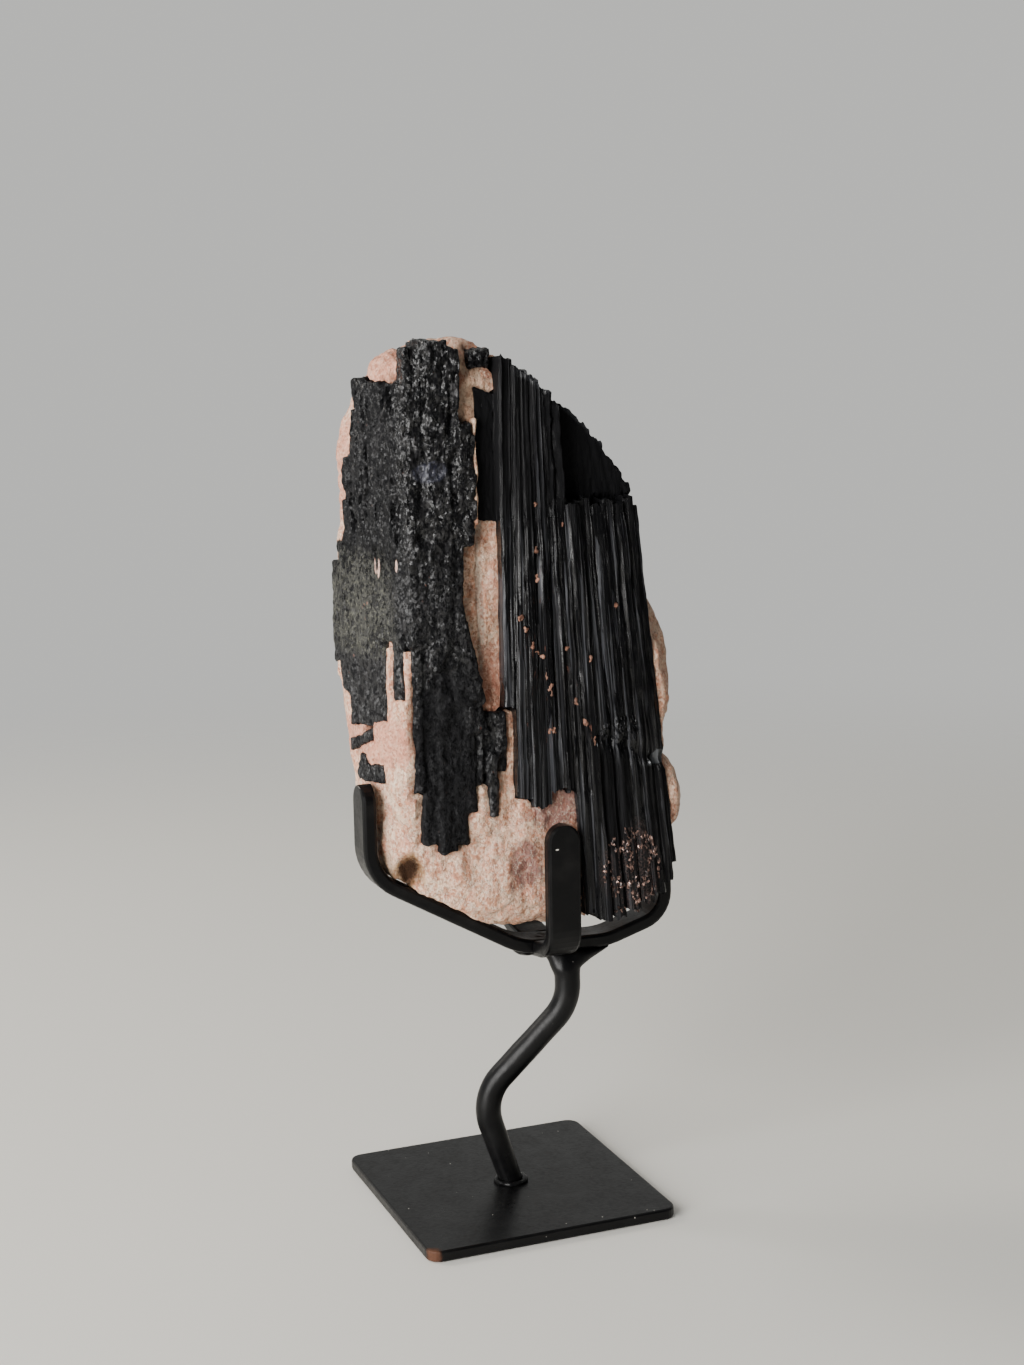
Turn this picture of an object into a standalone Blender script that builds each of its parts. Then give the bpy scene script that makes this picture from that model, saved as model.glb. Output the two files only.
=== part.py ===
"""Black tourmaline crystals grown on feldspar, held in a black iron stand with four prongs.

The frame is the stand's own: the origin is the centre of the plate's underside, +Z is up,
and the four arms of the cradle run along +X, -X, +Y and -Y. Sizes are worked out in
millimetres, and a mesh is brought to metres when its object is made.
"""
import math
import random

import bmesh
import bpy
from mathutils import Matrix, Vector, noise

MM = 0.001
GAP = 0.3                       # clearance between pieces that touch

# Plate
PLATE_SIDE = 75.0
PLATE_THICKNESS = 3.2
PLATE_CORNER = 4.0
PLATE_EDGE = 0.6

# Stem: a round rod bent in one upright plane, turned by this angle from the X axis
ROD_RADIUS = 3.7
ROD_SIDES = 14
STEM_TURN = math.radians(-21.5)
STEM_TOP = 73.0
STEM_PATH = [(1.0, PLATE_THICKNESS + GAP, 0.0), (-7.2, 29.0, 15.0), (18.6, 57.5, 15.0), (18.4, 66.0, 0.0)]
# Weld flare at the rod's head: height, shift along the right arm, half width along it, across it
STEM_FLARE = [(68.2, 0.6, 4.3, 3.9), (70.2, 2.4, 6.6, 4.3), (71.8, 4.2, 9.2, 4.7), (STEM_TOP, 5.2, 11.2, 4.8)]
FLARE_BACK = 1.0                # how far the flare starts behind the rod's middle
FLARE_TURN = 0.45               # how far it drifts towards +Y, as a share of its shift

# Cradle: flat bars bent up at the ends
HUB = (11.0, -3.0)
BAR_WIDTH = 10.0
BAR_THICKNESS = 4.0
BAR_EDGE = 0.9
TIP_STEPS = 6
TIP_SWEEP = 88.0                # degrees of the tip's round, which ends in a tiny flat
# Middle line of each arm: distance from the hub, height, radius of the bend there
LEFT_ARM = [(0.15, 75.6, 0.0), (8.0, 76.0, 20.0), (52.5, 101.4, 14.0), (52.5, 127.2, 0.0)]
RIGHT_ARM = [(0.15, 75.4, 0.0), (19.0, 75.0, 20.0), (37.4, 80.6, 9.0), (37.4, 104.0, 0.0)]
FRONT_ARM = [(5.3, 75.6, 0.0), (16.0, 77.4, 7.0), (16.0, 113.9, 0.0)]
BACK_ARM = [(5.3, 75.4, 0.0), (12.0, 76.0, 16.0), (35.0, 83.3, 10.0), (35.0, 112.0, 0.0)]

# Feldspar body, level by level: height, left, right, front, back
FELDSPAR_LEVELS = [
    (82.6, -3.0, 29.0, -8.0, 14.0), (85.5, -15.0, 36.0, -13.5, 19.0), (91.0, -29.0, 41.5, -15.8, 23.0),
    (100.0, -36.5, 44.5, -16.3, 26.5), (110.0, -38.4, 45.6, -16.3, 28.0), (125.0, -38.8, 46.5, -15.6, 29.0),
    (140.0, -41.0, 47.0, -14.8, 29.0), (160.0, -43.0, 46.5, -14.3, 29.0), (180.0, -43.4, 43.5, -14.3, 28.5),
    (200.0, -41.5, 38.0, -14.3, 27.5), (215.0, -40.5, 30.5, -14.3, 26.0), (228.0, -39.0, 19.5, -14.3, 23.0),
    (238.0, -35.5, 8.0, -13.6, 17.0), (244.0, -29.0, 0.0, -11.5, 12.0), (247.4, -22.0, -8.0, -8.0, 8.0),
]
FELDSPAR_RING = 26
FELDSPAR_SQUARENESS = 3.4
FELDSPAR_ROUGHNESS = 0.9
# Lumps on the feldspar: centre, half sizes
FELDSPAR_LUMPS = [
    ((-29.0, -3.0, 235.5), (8.6, 9.0, 11.2)), ((-13.5, -1.0, 242.5), (10.5, 10.0, 6.4)),
    ((-33.0, 16.0, 219.0), (9.0, 11.0, 13.5)), ((-33.0, 18.0, 172.0), (10.6, 10.0, 34.0)),
    ((41.0, 0.0, 146.0), (10.0, 16.0, 32.0)), ((42.0, -5.0, 117.0), (10.6, 11.0, 15.5)),
    ((20.0, 20.0, 176.0), (24.0, 11.0, 38.0)), ((-18.0, 21.0, 132.0), (18.0, 10.5, 34.0)),
    ((-29.6, -9.6, 148.0), (9.2, 7.4, 36.0)),
]
# Flat cleavage breaks: a point on the plane, the direction that is cut away
FELDSPAR_BREAKS = [
    ((-36.8, -10.5, 110.0), (-0.82, -0.57, 0.0)), ((-30.0, 26.0, 170.0), (-0.62, 0.78, 0.06)),
    ((2.0, 29.6, 200.0), (-0.06, 0.98, 0.20)), ((42.0, 20.0, 150.0), (0.80, 0.60, 0.05)),
    ((-8.0, 28.6, 120.0), (-0.12, 0.97, -0.22)), ((16.0, 16.0, 226.0), (0.55, 0.35, 0.76)),
    ((3.0, -3.0, 78.9), (-0.487, 0.0, -0.874)),     # underside, resting on the left arm's slope
]
BREAK_BLOCK = 260.0

# The crystals stand side by side on this line around the front of the stone, seen from above.
# Distances along it are measured from the front left corner, backwards along the left side.
FRONT_SKIN = [(-39.0, 29.0), (-42.0, 19.0), (-41.5, 9.0), (-39.6, 0.0), (-36.5, -9.0), (-31.6, -17.0),
              (-12.0, -17.3), (5.0, -17.8), (20.0, -17.8), (33.0, -16.8), (42.0, -14.4), (47.5, -11.0)]
FRONT_CORNER = 5
BACK_SKIN = [(38.0, 22.0), (24.0, 28.2), (6.0, 29.6), (-12.0, 29.0), (-26.0, 27.0)]
BACK_CORNER = 0
COARSE_RIBS = (5.2, 0.35)       # usual width and depth of a crystal's ribs
FINE_RIBS = (3.4, 0.55)
BED_DEPTH = 7.0                 # how far outside a crystal its bed is open
CREST = 0.3                     # half width of a rib's flat face, as a share of the rib
RIB_LIFT = 0.6                  # how much the ribs differ in height, as a share of their depth
RIB_TILT = 0.5                  # how much their faces tilt
END_RAGGED = 0.6                # how uneven a broken end is
UNEVEN = 0.12                   # how far a crystal's edges wander

# A crystal: start and end along the skin, how far it stands out, its depth, bottom, top, lean
LEFT_CRYSTALS = [
    (0.0, 5.6, 0.3, 6.2, 166.3, 246.2, 0.0), (5.2, 12.4, 0.6, 13.6, 160.0, 248.0, 0.0),
    (12.0, 15.5, 0.2, 12.0, 164.8, 245.6, 0.0), (17.0, 20.0, -0.3, 9.6, 199.0, 222.6, 0.0),
    (14.6, 18.9, -0.1, 10.4, 193.2, 226.4, 0.0), (9.0, 15.2, 0.1, 11.2, 169.7, 200.0, 0.0),
    (10.0, 17.6, 0.4, 9.9, 150.0, 184.0, -0.22), (13.6, 19.4, -0.5, 9.1, 141.0, 167.4, -0.22),
    (-9.6, -2.8, 0.0, 10.2, 167.4, 237.0, 0.0), (-6.2, -2.6, 0.3, 9.2, 151.8, 229.0, 0.0),
    (-3.0, 0.8, 0.1, 8.6, 170.5, 236.4, 0.0), (-15.2, -9.2, -0.1, 11.4, 145.2, 237.6, 0.0),
    (-21.2, -14.8, 0.3, 10.6, 143.4, 238.2, 0.0), (-23.6, -20.8, 0.0, 9.8, 143.8, 229.6, 0.0),
    (-26.4, -23.2, 0.3, 9.1, 143.2, 216.8, 0.0), (-28.9, -26.0, 0.1, 8.4, 151.0, 205.0, 0.0),
    (-33.2, -28.4, 0.4, 7.8, 151.6, 193.6, 0.0), (-38.6, -32.8, -0.1, 6.5, 159.0, 188.0, 0.0),
    (0.8, 3.4, -1.0, 10.0, 126.0, 170.9, 0.0), (3.0, 7.8, -1.3, 10.8, 111.4, 174.1, 0.0),
    (7.4, 12.6, -0.8, 9.6, 108.8, 172.6, 0.0), (12.2, 16.1, -1.0, 10.3, 110.2, 170.2, 0.0),
    (15.7, 18.4, -1.3, 9.0, 119.6, 158.0, 0.0), (18.0, 20.6, -1.7, 8.1, 126.4, 151.0, 0.0),
    (19.4, 27.6, -2.1, 7.4, 130.0, 146.6, 0.0), (22.0, 24.9, -0.9, 6.4, 116.8, 135.0, 0.0),
]
RIGHT_CRYSTALS = [
    (26.4, 30.4, 0.4, 11.4, 147.5, 243.0, 0.0), (29.9, 34.9, 0.9, 13.5, 121.6, 240.6, 0.0),
    (33.4, 39.3, 0.5, 12.4, 119.0, 238.4, -0.02), (37.8, 43.6, 0.8, 14.1, 123.6, 235.4, -0.04),
    (41.6, 47.2, 0.2, 13.1, 122.6, 232.2, -0.06),
    (46.0, 50.2, 0.3, 12.0, 86.4, 204.6, -0.07), (49.8, 54.4, 0.8, 13.4, 84.4, 203.2, -0.075),
    (54.0, 58.6, 0.3, 12.5, 84.0, 204.2, -0.085), (58.2, 62.8, 0.9, 11.5, 85.6, 202.6, -0.09),
    (62.4, 66.8, 0.4, 12.6, 87.4, 203.8, -0.10), (66.4, 70.4, 0.7, 11.3, 89.6, 202.4, -0.105),
    (70.0, 73.8, 0.1, 9.9, 93.0, 204.0, -0.11), (73.4, 75.6, -0.2, 8.2, 98.0, 202.0, -0.115),
    (20.6, 27.0, -3.2, 8.4, 199.6, 234.0, 0.0),
    (41.0, 47.0, -4.4, 9.8, 190.0, 230.6, -0.03), (46.6, 51.6, -4.8, 9.0, 191.0, 228.2, -0.03),
    (51.2, 55.8, -4.4, 10.3, 189.2, 225.0, -0.04), (55.4, 59.8, -4.9, 9.3, 190.6, 220.6, -0.05),
    (59.4, 63.4, -4.5, 8.4, 189.0, 215.4, -0.06), (63.0, 66.6, -4.8, 9.2, 191.4, 212.4, -0.06),
    (66.2, 69.4, -4.4, 8.1, 190.2, 208.0, -0.07),
]
BACK_CRYSTALS = [
    (14.0, 19.4, 0.0, 9.0, 150.0, 214.0, 0.03), (19.0, 25.2, 0.4, 10.0, 138.0, 221.0, 0.02),
    (24.8, 30.0, -0.2, 9.0, 128.0, 207.0, 0.01), (29.6, 34.6, 0.3, 8.0, 134.0, 190.0, 0.0),
    (34.2, 38.4, -0.3, 7.0, 146.0, 176.0, 0.0),
]
SHARD = [(-27.0, -14.6, 0.7, 3.4, 137.6, 140.4, 0.0)]
CHIP = [(-22.6, -10.4, 0.7, 4.0, 127.9, 132.6, 0.0), (-22.2, -18.8, 0.4, 3.6, 130.6, 134.6, 0.0)]
TOP_WEDGE = [(19.4, 25.2, -3.4, 9.0, 240.4, 245.4, 0.0)]

# Slope of the ends: of the left shard, and of the right bundle's tops along the stone's curved outline
SHARD_SLOPE = 0.36
OUTLINE_SLOPE = -0.45
OUTLINE_CURVE = -0.019
OUTLINE_START = 29.1            # distance along the skin where the outline has its first slope
BROKEN_TOP = 206.0              # right crystals that end below this are broken off square

# The draw of the crystals' unevenness
ROUGH_SEED = {"tourmaline_left": 2, "tourmaline_right": 4, "tourmaline_back": 1,
              "tourmaline_shard": 1, "tourmaline_chip": 1, "tourmaline_top": 1}

IRON = ("black_iron", (0.012, 0.012, 0.013), 0.42, 0.0)
TOURMALINE = ("black_tourmaline", (0.010, 0.010, 0.012), 0.30, 0.0)
FELDSPAR = ("feldspar", (0.62, 0.43, 0.34), 0.70, 0.0)


def clear_scene():
    for obj in list(bpy.data.objects):
        bpy.data.objects.remove(obj)


def material(name, colour, roughness, metallic):
    """Return the Principled material of this name, made on first use."""
    found = bpy.data.materials.get(name)
    if found:
        return found
    made = bpy.data.materials.new(name)
    made.use_nodes = True
    shader = made.node_tree.nodes["Principled BSDF"]
    shader.inputs["Base Color"].default_value = (*colour, 1.0)
    shader.inputs["Roughness"].default_value = roughness
    shader.inputs["Metallic"].default_value = metallic
    return made


def make_object(name, bm, finish, smooth=True):
    """Turn a millimetre bmesh into an object in metres, with its faces pointing out."""
    if bm.calc_volume(signed=True) < 0:
        bmesh.ops.reverse_faces(bm, faces=bm.faces)
    bmesh.ops.scale(bm, vec=(MM, MM, MM), verts=bm.verts)
    mesh = bpy.data.meshes.new(name)
    bm.to_mesh(mesh)
    bm.free()
    mesh.materials.append(material(*finish))
    if smooth:
        mesh.shade_smooth()
        mesh.set_sharp_from_angle(angle=math.radians(35))
    obj = bpy.data.objects.new(name, mesh)
    bpy.context.collection.objects.link(obj)
    return obj


def rounded_path(corners, steps=7):
    """Points of a bent line: straight runs joined by arcs of each corner's radius."""
    points = [Vector(corners[0][:2])]
    for before, corner, after in zip(corners, corners[1:], corners[2:]):
        here = Vector(corner[:2])
        back = (Vector(before[:2]) - here).normalized()
        ahead = (Vector(after[:2]) - here).normalized()
        half = back.angle(ahead) / 2
        reach = corner[2] / math.tan(half)
        centre = here + (back + ahead).normalized() * (corner[2] / math.sin(half))
        start = here + back * reach - centre
        end = here + ahead * reach - centre
        sweep = start.angle_signed(end)
        for step in range(steps + 1):
            turn = Matrix.Rotation(-sweep * step / steps, 2)
            points.append(centre + turn @ start)
    points.append(Vector(corners[-1][:2]))
    return points


def path_normals(points):
    """Unit normals of a plane line, each halfway between its neighbours' directions."""
    normals = []
    for index, point in enumerate(points):
        before = points[max(index - 1, 0)]
        after = points[min(index + 1, len(points) - 1)]
        along = (after - before).normalized()
        normals.append(Vector((along.y, -along.x)))
    return normals


def skin_rings(bm, rings):
    """Bridge rings of equal point counts into one closed body."""
    loops = [[bm.verts.new(point) for point in ring] for ring in rings]
    for lower, upper in zip(loops, loops[1:]):
        for index in range(len(lower)):
            after = (index + 1) % len(lower)
            bm.faces.new((lower[index], lower[after], upper[after], upper[index]))
    bm.faces.new(loops[0][::-1])
    bm.faces.new(loops[-1])


def bar_section(width, thickness, edge, grow):
    """Corner points of a flat bar's cross-section with rounded edges."""
    half_w = width / 2 + grow
    half_t = thickness / 2 + grow
    edge = min(edge, half_w * 0.9)
    points = []
    for side_w, side_t, first in ((1, 1, 0), (-1, 1, 90), (-1, -1, 180), (1, -1, 270)):
        for turn in (0, 45, 90):
            angle = math.radians(first + turn)
            points.append((side_w * (half_w - edge) + edge * math.cos(angle),
                           side_t * (half_t - edge) + edge * math.sin(angle)))
    return points


def prong_mesh(arm, direction, grow=0.0):
    """A flat bar along an arm's path, its free end rounded to a half circle."""
    path = rounded_path(arm)
    last = path.pop()
    tip_radius = BAR_WIDTH / 2
    stations = [(point, 1.0) for point in path]
    for step in range(TIP_STEPS + 1):
        angle = math.radians(TIP_SWEEP * step / TIP_STEPS)
        drop = tip_radius * (1 - math.sin(angle)) - grow
        stations.append((Vector((last.x, last.y - drop)), math.cos(angle)))
    normals = path_normals([point for point, _ in stations])
    outward = Vector(direction).to_3d()
    across = Vector((0, 0, 1)).cross(outward)
    start = Vector((*HUB, 0.0))
    rings = []
    for (point, share), normal in zip(stations, normals):
        ring = []
        for wide, thick in bar_section(BAR_WIDTH * share, BAR_THICKNESS, BAR_EDGE, grow):
            flat = point + normal * thick
            ring.append(start + outward * flat.x + across * wide + Vector((0, 0, flat.y)))
        rings.append(ring)
    bm = bmesh.new()
    skin_rings(bm, rings)
    return bm


def base_plate():
    """A square plate with rounded corners and softened edges."""
    bm = bmesh.new()
    bmesh.ops.create_cube(bm, size=1.0)
    bmesh.ops.scale(bm, vec=(PLATE_SIDE, PLATE_SIDE, PLATE_THICKNESS), verts=bm.verts)
    bmesh.ops.translate(bm, vec=(0, 0, PLATE_THICKNESS / 2), verts=bm.verts)
    upright = [e for e in bm.edges if abs(e.verts[0].co.z - e.verts[1].co.z) > 1]
    bmesh.ops.bevel(bm, geom=upright, offset=PLATE_CORNER, segments=6, profile=0.5, affect="EDGES")
    rims = [e for e in bm.edges if abs(e.verts[0].co.z - e.verts[1].co.z) < 0.01 and e.calc_face_angle(0) > 1]
    bmesh.ops.bevel(bm, geom=rims, offset=PLATE_EDGE, segments=2, profile=0.5, affect="EDGES")
    return make_object("base_plate", bm, IRON)


def stem():
    """The bent rod with the weld flare at its head."""
    path = rounded_path(STEM_PATH, steps=9)
    normals = path_normals(path)
    in_plane = Vector((math.cos(STEM_TURN), math.sin(STEM_TURN), 0))
    across = Vector((-in_plane.y, in_plane.x, 0))
    turns = [math.tau * k / ROD_SIDES for k in range(ROD_SIDES)]
    rings = []
    for point, normal in zip(path, normals):
        centre = in_plane * point.x + Vector((0, 0, point.y))
        side = in_plane * normal.x + Vector((0, 0, normal.y))
        rings.append([centre + (side * math.cos(a) + across * math.sin(a)) * ROD_RADIUS for a in turns])
    top = in_plane * path[-1].x
    for height, shift, along, beside in STEM_FLARE:
        centre = top + Vector((shift - FLARE_BACK, shift * FLARE_TURN, height))
        rings.append([centre + Vector((math.cos(a + STEM_TURN) * along, math.sin(a + STEM_TURN) * beside, 0))
                      for a in turns])
    for point in rings[0]:
        point.z = PLATE_THICKNESS + GAP
    bm = bmesh.new()
    skin_rings(bm, rings)
    return make_object("stem", bm, IRON)


ARMS = {
    "prong_left": (LEFT_ARM, (-1, 0)), "prong_right": (RIGHT_ARM, (1, 0)),
    "prong_front": (FRONT_ARM, (0, -1)), "prong_back": (BACK_ARM, (0, 1)),
}


def prongs():
    for name, (arm, direction) in ARMS.items():
        make_object(name, prong_mesh(arm, direction), IRON)


class Skin:
    """A line seen from above on which crystals stand, measured from one of its points."""

    def __init__(self, points, corner):
        self.points = [Vector(p) for p in points]
        self.marks = [0.0]
        for before, after in zip(self.points, self.points[1:]):
            self.marks.append(self.marks[-1] + (after - before).length)
        zero = self.marks[corner]
        self.marks = [mark - zero for mark in self.marks]

    def at(self, s, outward):
        """The point at distance s along the line, moved outward from the stone."""
        last = len(self.points) - 2
        index = next((k for k in range(last) if s < self.marks[k + 1]), last)
        before, after = self.points[index], self.points[index + 1]
        along = (after - before).normalized()
        place = before + along * (s - self.marks[index])
        return place + Vector((along.y, -along.x)) * outward


def end_slopes(name, spec):
    """Rise of a crystal's bottom and top ends for each millimetre along the skin."""
    if name == "tourmaline_shard":
        return SHARD_SLOPE, SHARD_SLOPE
    if name == "tourmaline_right" and spec[5] > BROKEN_TOP:
        middle = (spec[0] + spec[1]) / 2
        return 0.0, OUTLINE_SLOPE + OUTLINE_CURVE * (middle - OUTLINE_START)
    return 0.0, 0.0


def end_heights(skin, spec, slope, height, outline):
    """Heights of an end's corners on its slope."""
    middle = (spec[0] + spec[1]) / 2
    centre = skin.at(middle, 0.0)
    along = (skin.at(middle + 1.0, 0.0) - centre).normalized()
    return [height + slope * (point - centre).dot(along) for point in outline]


def prism(outline, lows, highs, lean, middle):
    """An upright body on an outline, its ends closed to a centre point, leaning along X."""
    bm = bmesh.new()
    lower, upper = ([bm.verts.new((point.x + lean * (z - middle), point.y, z))
                     for point, z in zip(outline, heights)] for heights in (lows, highs))
    for index in range(len(outline)):
        after = (index + 1) % len(outline)
        bm.faces.new((lower[index], lower[after], upper[after], upper[index]))
    for ring in (lower[::-1], upper):
        peak = bm.verts.new(sum((vert.co for vert in ring), Vector()) / len(ring))
        for index in range(len(ring)):
            bm.faces.new((ring[index], ring[(index + 1) % len(ring)], peak))
    return bm


def inner_corners(skin, start, end, depth):
    """The two back corners of a crystal, straight in from its sides."""
    middle = (start + end) / 2
    inward = skin.at(middle, -depth) - skin.at(middle, 0.0)
    return [skin.at(end, 0.0) + inward, skin.at(start, 0.0) + inward]


def crystal_mesh(skin, spec, slopes, seed, ribs):
    """A ribbed prism with ragged ends: one crystal of a bundle."""
    start, end, proud, depth, low, high, lean = spec
    usual, groove = ribs
    rng = random.Random(seed)
    count = max(1, round((end - start) / usual))
    width = (end - start) / count
    outline = [skin.at(start, proud - groove)]
    for rib in range(count):
        middle = start + (rib + 0.5) * width
        lift = proud + rng.uniform(-groove, groove) * RIB_LIFT
        tilt = rng.uniform(-groove, groove) * RIB_TILT
        outline.append(skin.at(middle - CREST * width, lift - tilt))
        outline.append(skin.at(middle + CREST * width, lift + tilt))
        outline.append(skin.at(start + (rib + 1) * width, proud - groove))
    outline += inner_corners(skin, start, end, depth)
    for point in outline:
        point += Vector((rng.uniform(-UNEVEN, UNEVEN), rng.uniform(-UNEVEN, UNEVEN)))
    lows, highs = ([z + rng.uniform(-END_RAGGED, END_RAGGED)
                    for z in end_heights(skin, spec, slope, end, outline)]
                   for slope, end in zip(slopes, (low, high)))
    return prism(outline, lows, highs, lean, (low + high) / 2)


def bed_mesh(skin, spec, slopes):
    """The plain space that a crystal and a narrow gap round it take in the matrix."""
    start, end, proud, depth, low, high, lean = spec
    side = GAP + UNEVEN
    start, end = start - side, end + side
    steps = max(2, round((end - start) / BED_DEPTH) + 1)
    outline = [skin.at(start + (end - start) * k / (steps - 1), proud + BED_DEPTH) for k in range(steps)]
    outline += inner_corners(skin, start, end, depth + side)
    spare = END_RAGGED + GAP
    lows = end_heights(skin, spec, slopes[0], low - spare, outline)
    highs = end_heights(skin, spec, slopes[1], high + spare, outline)
    return prism(outline, lows, highs, lean, (low + high) / 2)


def guide(name, bm):
    """A cutter: an object that shapes others and isn't part of the model."""
    obj = make_object(name, bm, FELDSPAR, smooth=False)
    obj.hide_render = True
    obj.display_type = "WIRE"
    return obj


def boolean(obj, operation, operands, name):
    """Join the operands to an object, or cut them from it, and keep the result's largest body."""
    group = bpy.data.collections.new(name)
    bpy.context.scene.collection.children.link(group)
    for operand in operands:
        group.objects.link(operand)
        bpy.context.collection.objects.unlink(operand)
    modifier = obj.modifiers.new(name, "BOOLEAN")
    modifier.operation = operation
    modifier.operand_type = "COLLECTION"
    modifier.collection = group
    modifier.solver = "EXACT"
    result = bpy.data.meshes.new_from_object(obj.evaluated_get(bpy.context.evaluated_depsgraph_get()))
    obj.modifiers.clear()
    obj.data = result
    for operand in operands:
        bpy.data.objects.remove(operand)
    bpy.data.collections.remove(group)
    keep_largest_body(obj.data)


def keep_largest_body(mesh):
    """Drop the crumbs that a cut leaves loose."""
    bm = bmesh.new()
    bm.from_mesh(mesh)
    bmesh.ops.triangulate(bm, faces=bm.faces)
    todo = set(bm.faces)
    bodies = []
    while todo:
        body = []
        stack = [todo.pop()]
        while stack:
            face = stack.pop()
            body.append(face)
            for edge in face.edges:
                for other in edge.link_faces if len(edge.link_faces) == 2 else ():
                    if other in todo:
                        todo.discard(other)
                        stack.append(other)
        bodies.append(body)
    bodies.sort(key=len)
    crumbs = [face for body in bodies[:-1] for face in body]
    bmesh.ops.delete(bm, geom=crumbs, context="FACES")
    bm.to_mesh(mesh)
    bm.free()


def prong_guides():
    """The space that the prongs and a narrow gap round them take."""
    return [guide(name + "_clear", prong_mesh(arm, direction, GAP))
            for name, (arm, direction) in ARMS.items()]


def bundle(name, skin, specs, ribs):
    """Crystals grown together, joined in one solid."""
    crystals = []
    for index, spec in enumerate(specs):
        seed = f"{name} {index} {ROUGH_SEED[name]}"
        crystals.append(guide(f"{name}_{index}", crystal_mesh(skin, spec, end_slopes(name, spec), seed, ribs)))
    first, *others = crystals
    if others:
        boolean(first, "UNION", others, name + "_union")
        boolean(first, "DIFFERENCE", prong_guides(), name + "_clear")
    first.name = name
    first.data.name = name
    first.data.materials.clear()
    first.data.materials.append(material(*TOURMALINE))
    first.hide_render = False
    first.display_type = "TEXTURED"


def feldspar_ring(level):
    """One level of the feldspar body: a rounded box seen from above, roughened by noise."""
    height, left, right, front, back = level
    power = 2 / FELDSPAR_SQUARENESS
    ring = []
    for index in range(FELDSPAR_RING):
        angle = math.tau * index / FELDSPAR_RING
        c, s = math.cos(angle), math.sin(angle)
        x = (left + right) / 2 + (right - left) / 2 * math.copysign(abs(c) ** power, c)
        y = (front + back) / 2 + (back - front) / 2 * math.copysign(abs(s) ** power, s)
        rough = FELDSPAR_ROUGHNESS * noise.noise(Vector((x, y, height)) / 13)
        ring.append(Vector((x - c * abs(rough), y - s * abs(rough), height + rough)))
    return ring


def between(levels, parts):
    """Levels with straight steps added between them."""
    filled = []
    for before, after in zip(levels, levels[1:]):
        for part in range(parts):
            share = part / parts
            filled.append(tuple(a + (b - a) * share for a, b in zip(before, after)))
    filled.append(levels[-1])
    return filled


def feldspar(cutters):
    """The matrix: a lumpy body with flat breaks and a bed for each crystal."""
    bm = bmesh.new()
    skin_rings(bm, [feldspar_ring(level) for level in between(FELDSPAR_LEVELS, 2)])
    body = make_object("feldspar_matrix", bm, FELDSPAR, smooth=False)
    lumps = []
    for index, (centre, half) in enumerate(FELDSPAR_LUMPS):
        lump = bmesh.new()
        bmesh.ops.create_icosphere(lump, subdivisions=2, radius=1.0)
        bmesh.ops.scale(lump, vec=half, verts=lump.verts)
        bmesh.ops.translate(lump, vec=centre, verts=lump.verts)
        lumps.append(guide(f"lump_{index}", lump))
    boolean(body, "UNION", lumps, "lumps")
    breaks = [half_space(f"break_{index}", *plane) for index, plane in enumerate(FELDSPAR_BREAKS)]
    boolean(body, "DIFFERENCE", breaks, "breaks")
    boolean(body, "DIFFERENCE", cutters, "beds")
    return body


def half_space(name, point, normal):
    """A large block whose near face is a flat break of the stone."""
    bm = bmesh.new()
    bmesh.ops.create_cube(bm, size=BREAK_BLOCK)
    turn = Vector(normal).to_track_quat("Z", "Y").to_matrix()
    centre = Vector(point) + Vector(normal).normalized() * BREAK_BLOCK / 2
    bmesh.ops.rotate(bm, cent=(0, 0, 0), matrix=turn, verts=bm.verts)
    bmesh.ops.translate(bm, vec=centre, verts=bm.verts)
    return guide(name, bm)


def stone():
    """Feldspar, the two front bundles, the bundle at the back and the small crystals."""
    front = Skin(FRONT_SKIN, FRONT_CORNER)
    back = Skin(BACK_SKIN, BACK_CORNER)
    groups = {
        "tourmaline_left": (front, LEFT_CRYSTALS, COARSE_RIBS),
        "tourmaline_right": (front, RIGHT_CRYSTALS, FINE_RIBS),
        "tourmaline_back": (back, BACK_CRYSTALS, FINE_RIBS),
        "tourmaline_shard": (front, SHARD, COARSE_RIBS),
        "tourmaline_chip": (front, CHIP, COARSE_RIBS),
        "tourmaline_top": (front, TOP_WEDGE, COARSE_RIBS),
    }
    beds = []
    for name, (skin, specs, ribs) in groups.items():
        bundle(name, skin, specs, ribs)
        beds += [guide(f"{name}_bed_{index}", bed_mesh(skin, spec, end_slopes(name, spec)))
                 for index, spec in enumerate(specs)]
    feldspar(beds + prong_guides())


def main():
    clear_scene()
    base_plate()
    stem()
    prongs()
    stone()


main()
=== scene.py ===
"""The looks of black tourmaline crystals on feldspar, held in a black iron stand.

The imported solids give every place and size. The plate and the four bars keep their solids and get
their finish, the rod is drawn round, the welds are added, and each piece of stone is worked over
from a merged copy of its own solid. Places are written in millimetres in the solids' frame: X
along the stone's front, Y away from the viewer and Z up. The origin is the centre of the plate's
underside.
"""

import logging
import math
import random
from dataclasses import dataclass
from enum import Enum
from typing import Any, Callable, Iterable, Optional, Union

import bmesh
import bpy
from mathutils import Matrix, Vector, noise
from mathutils.bvhtree import BVHTree

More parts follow.
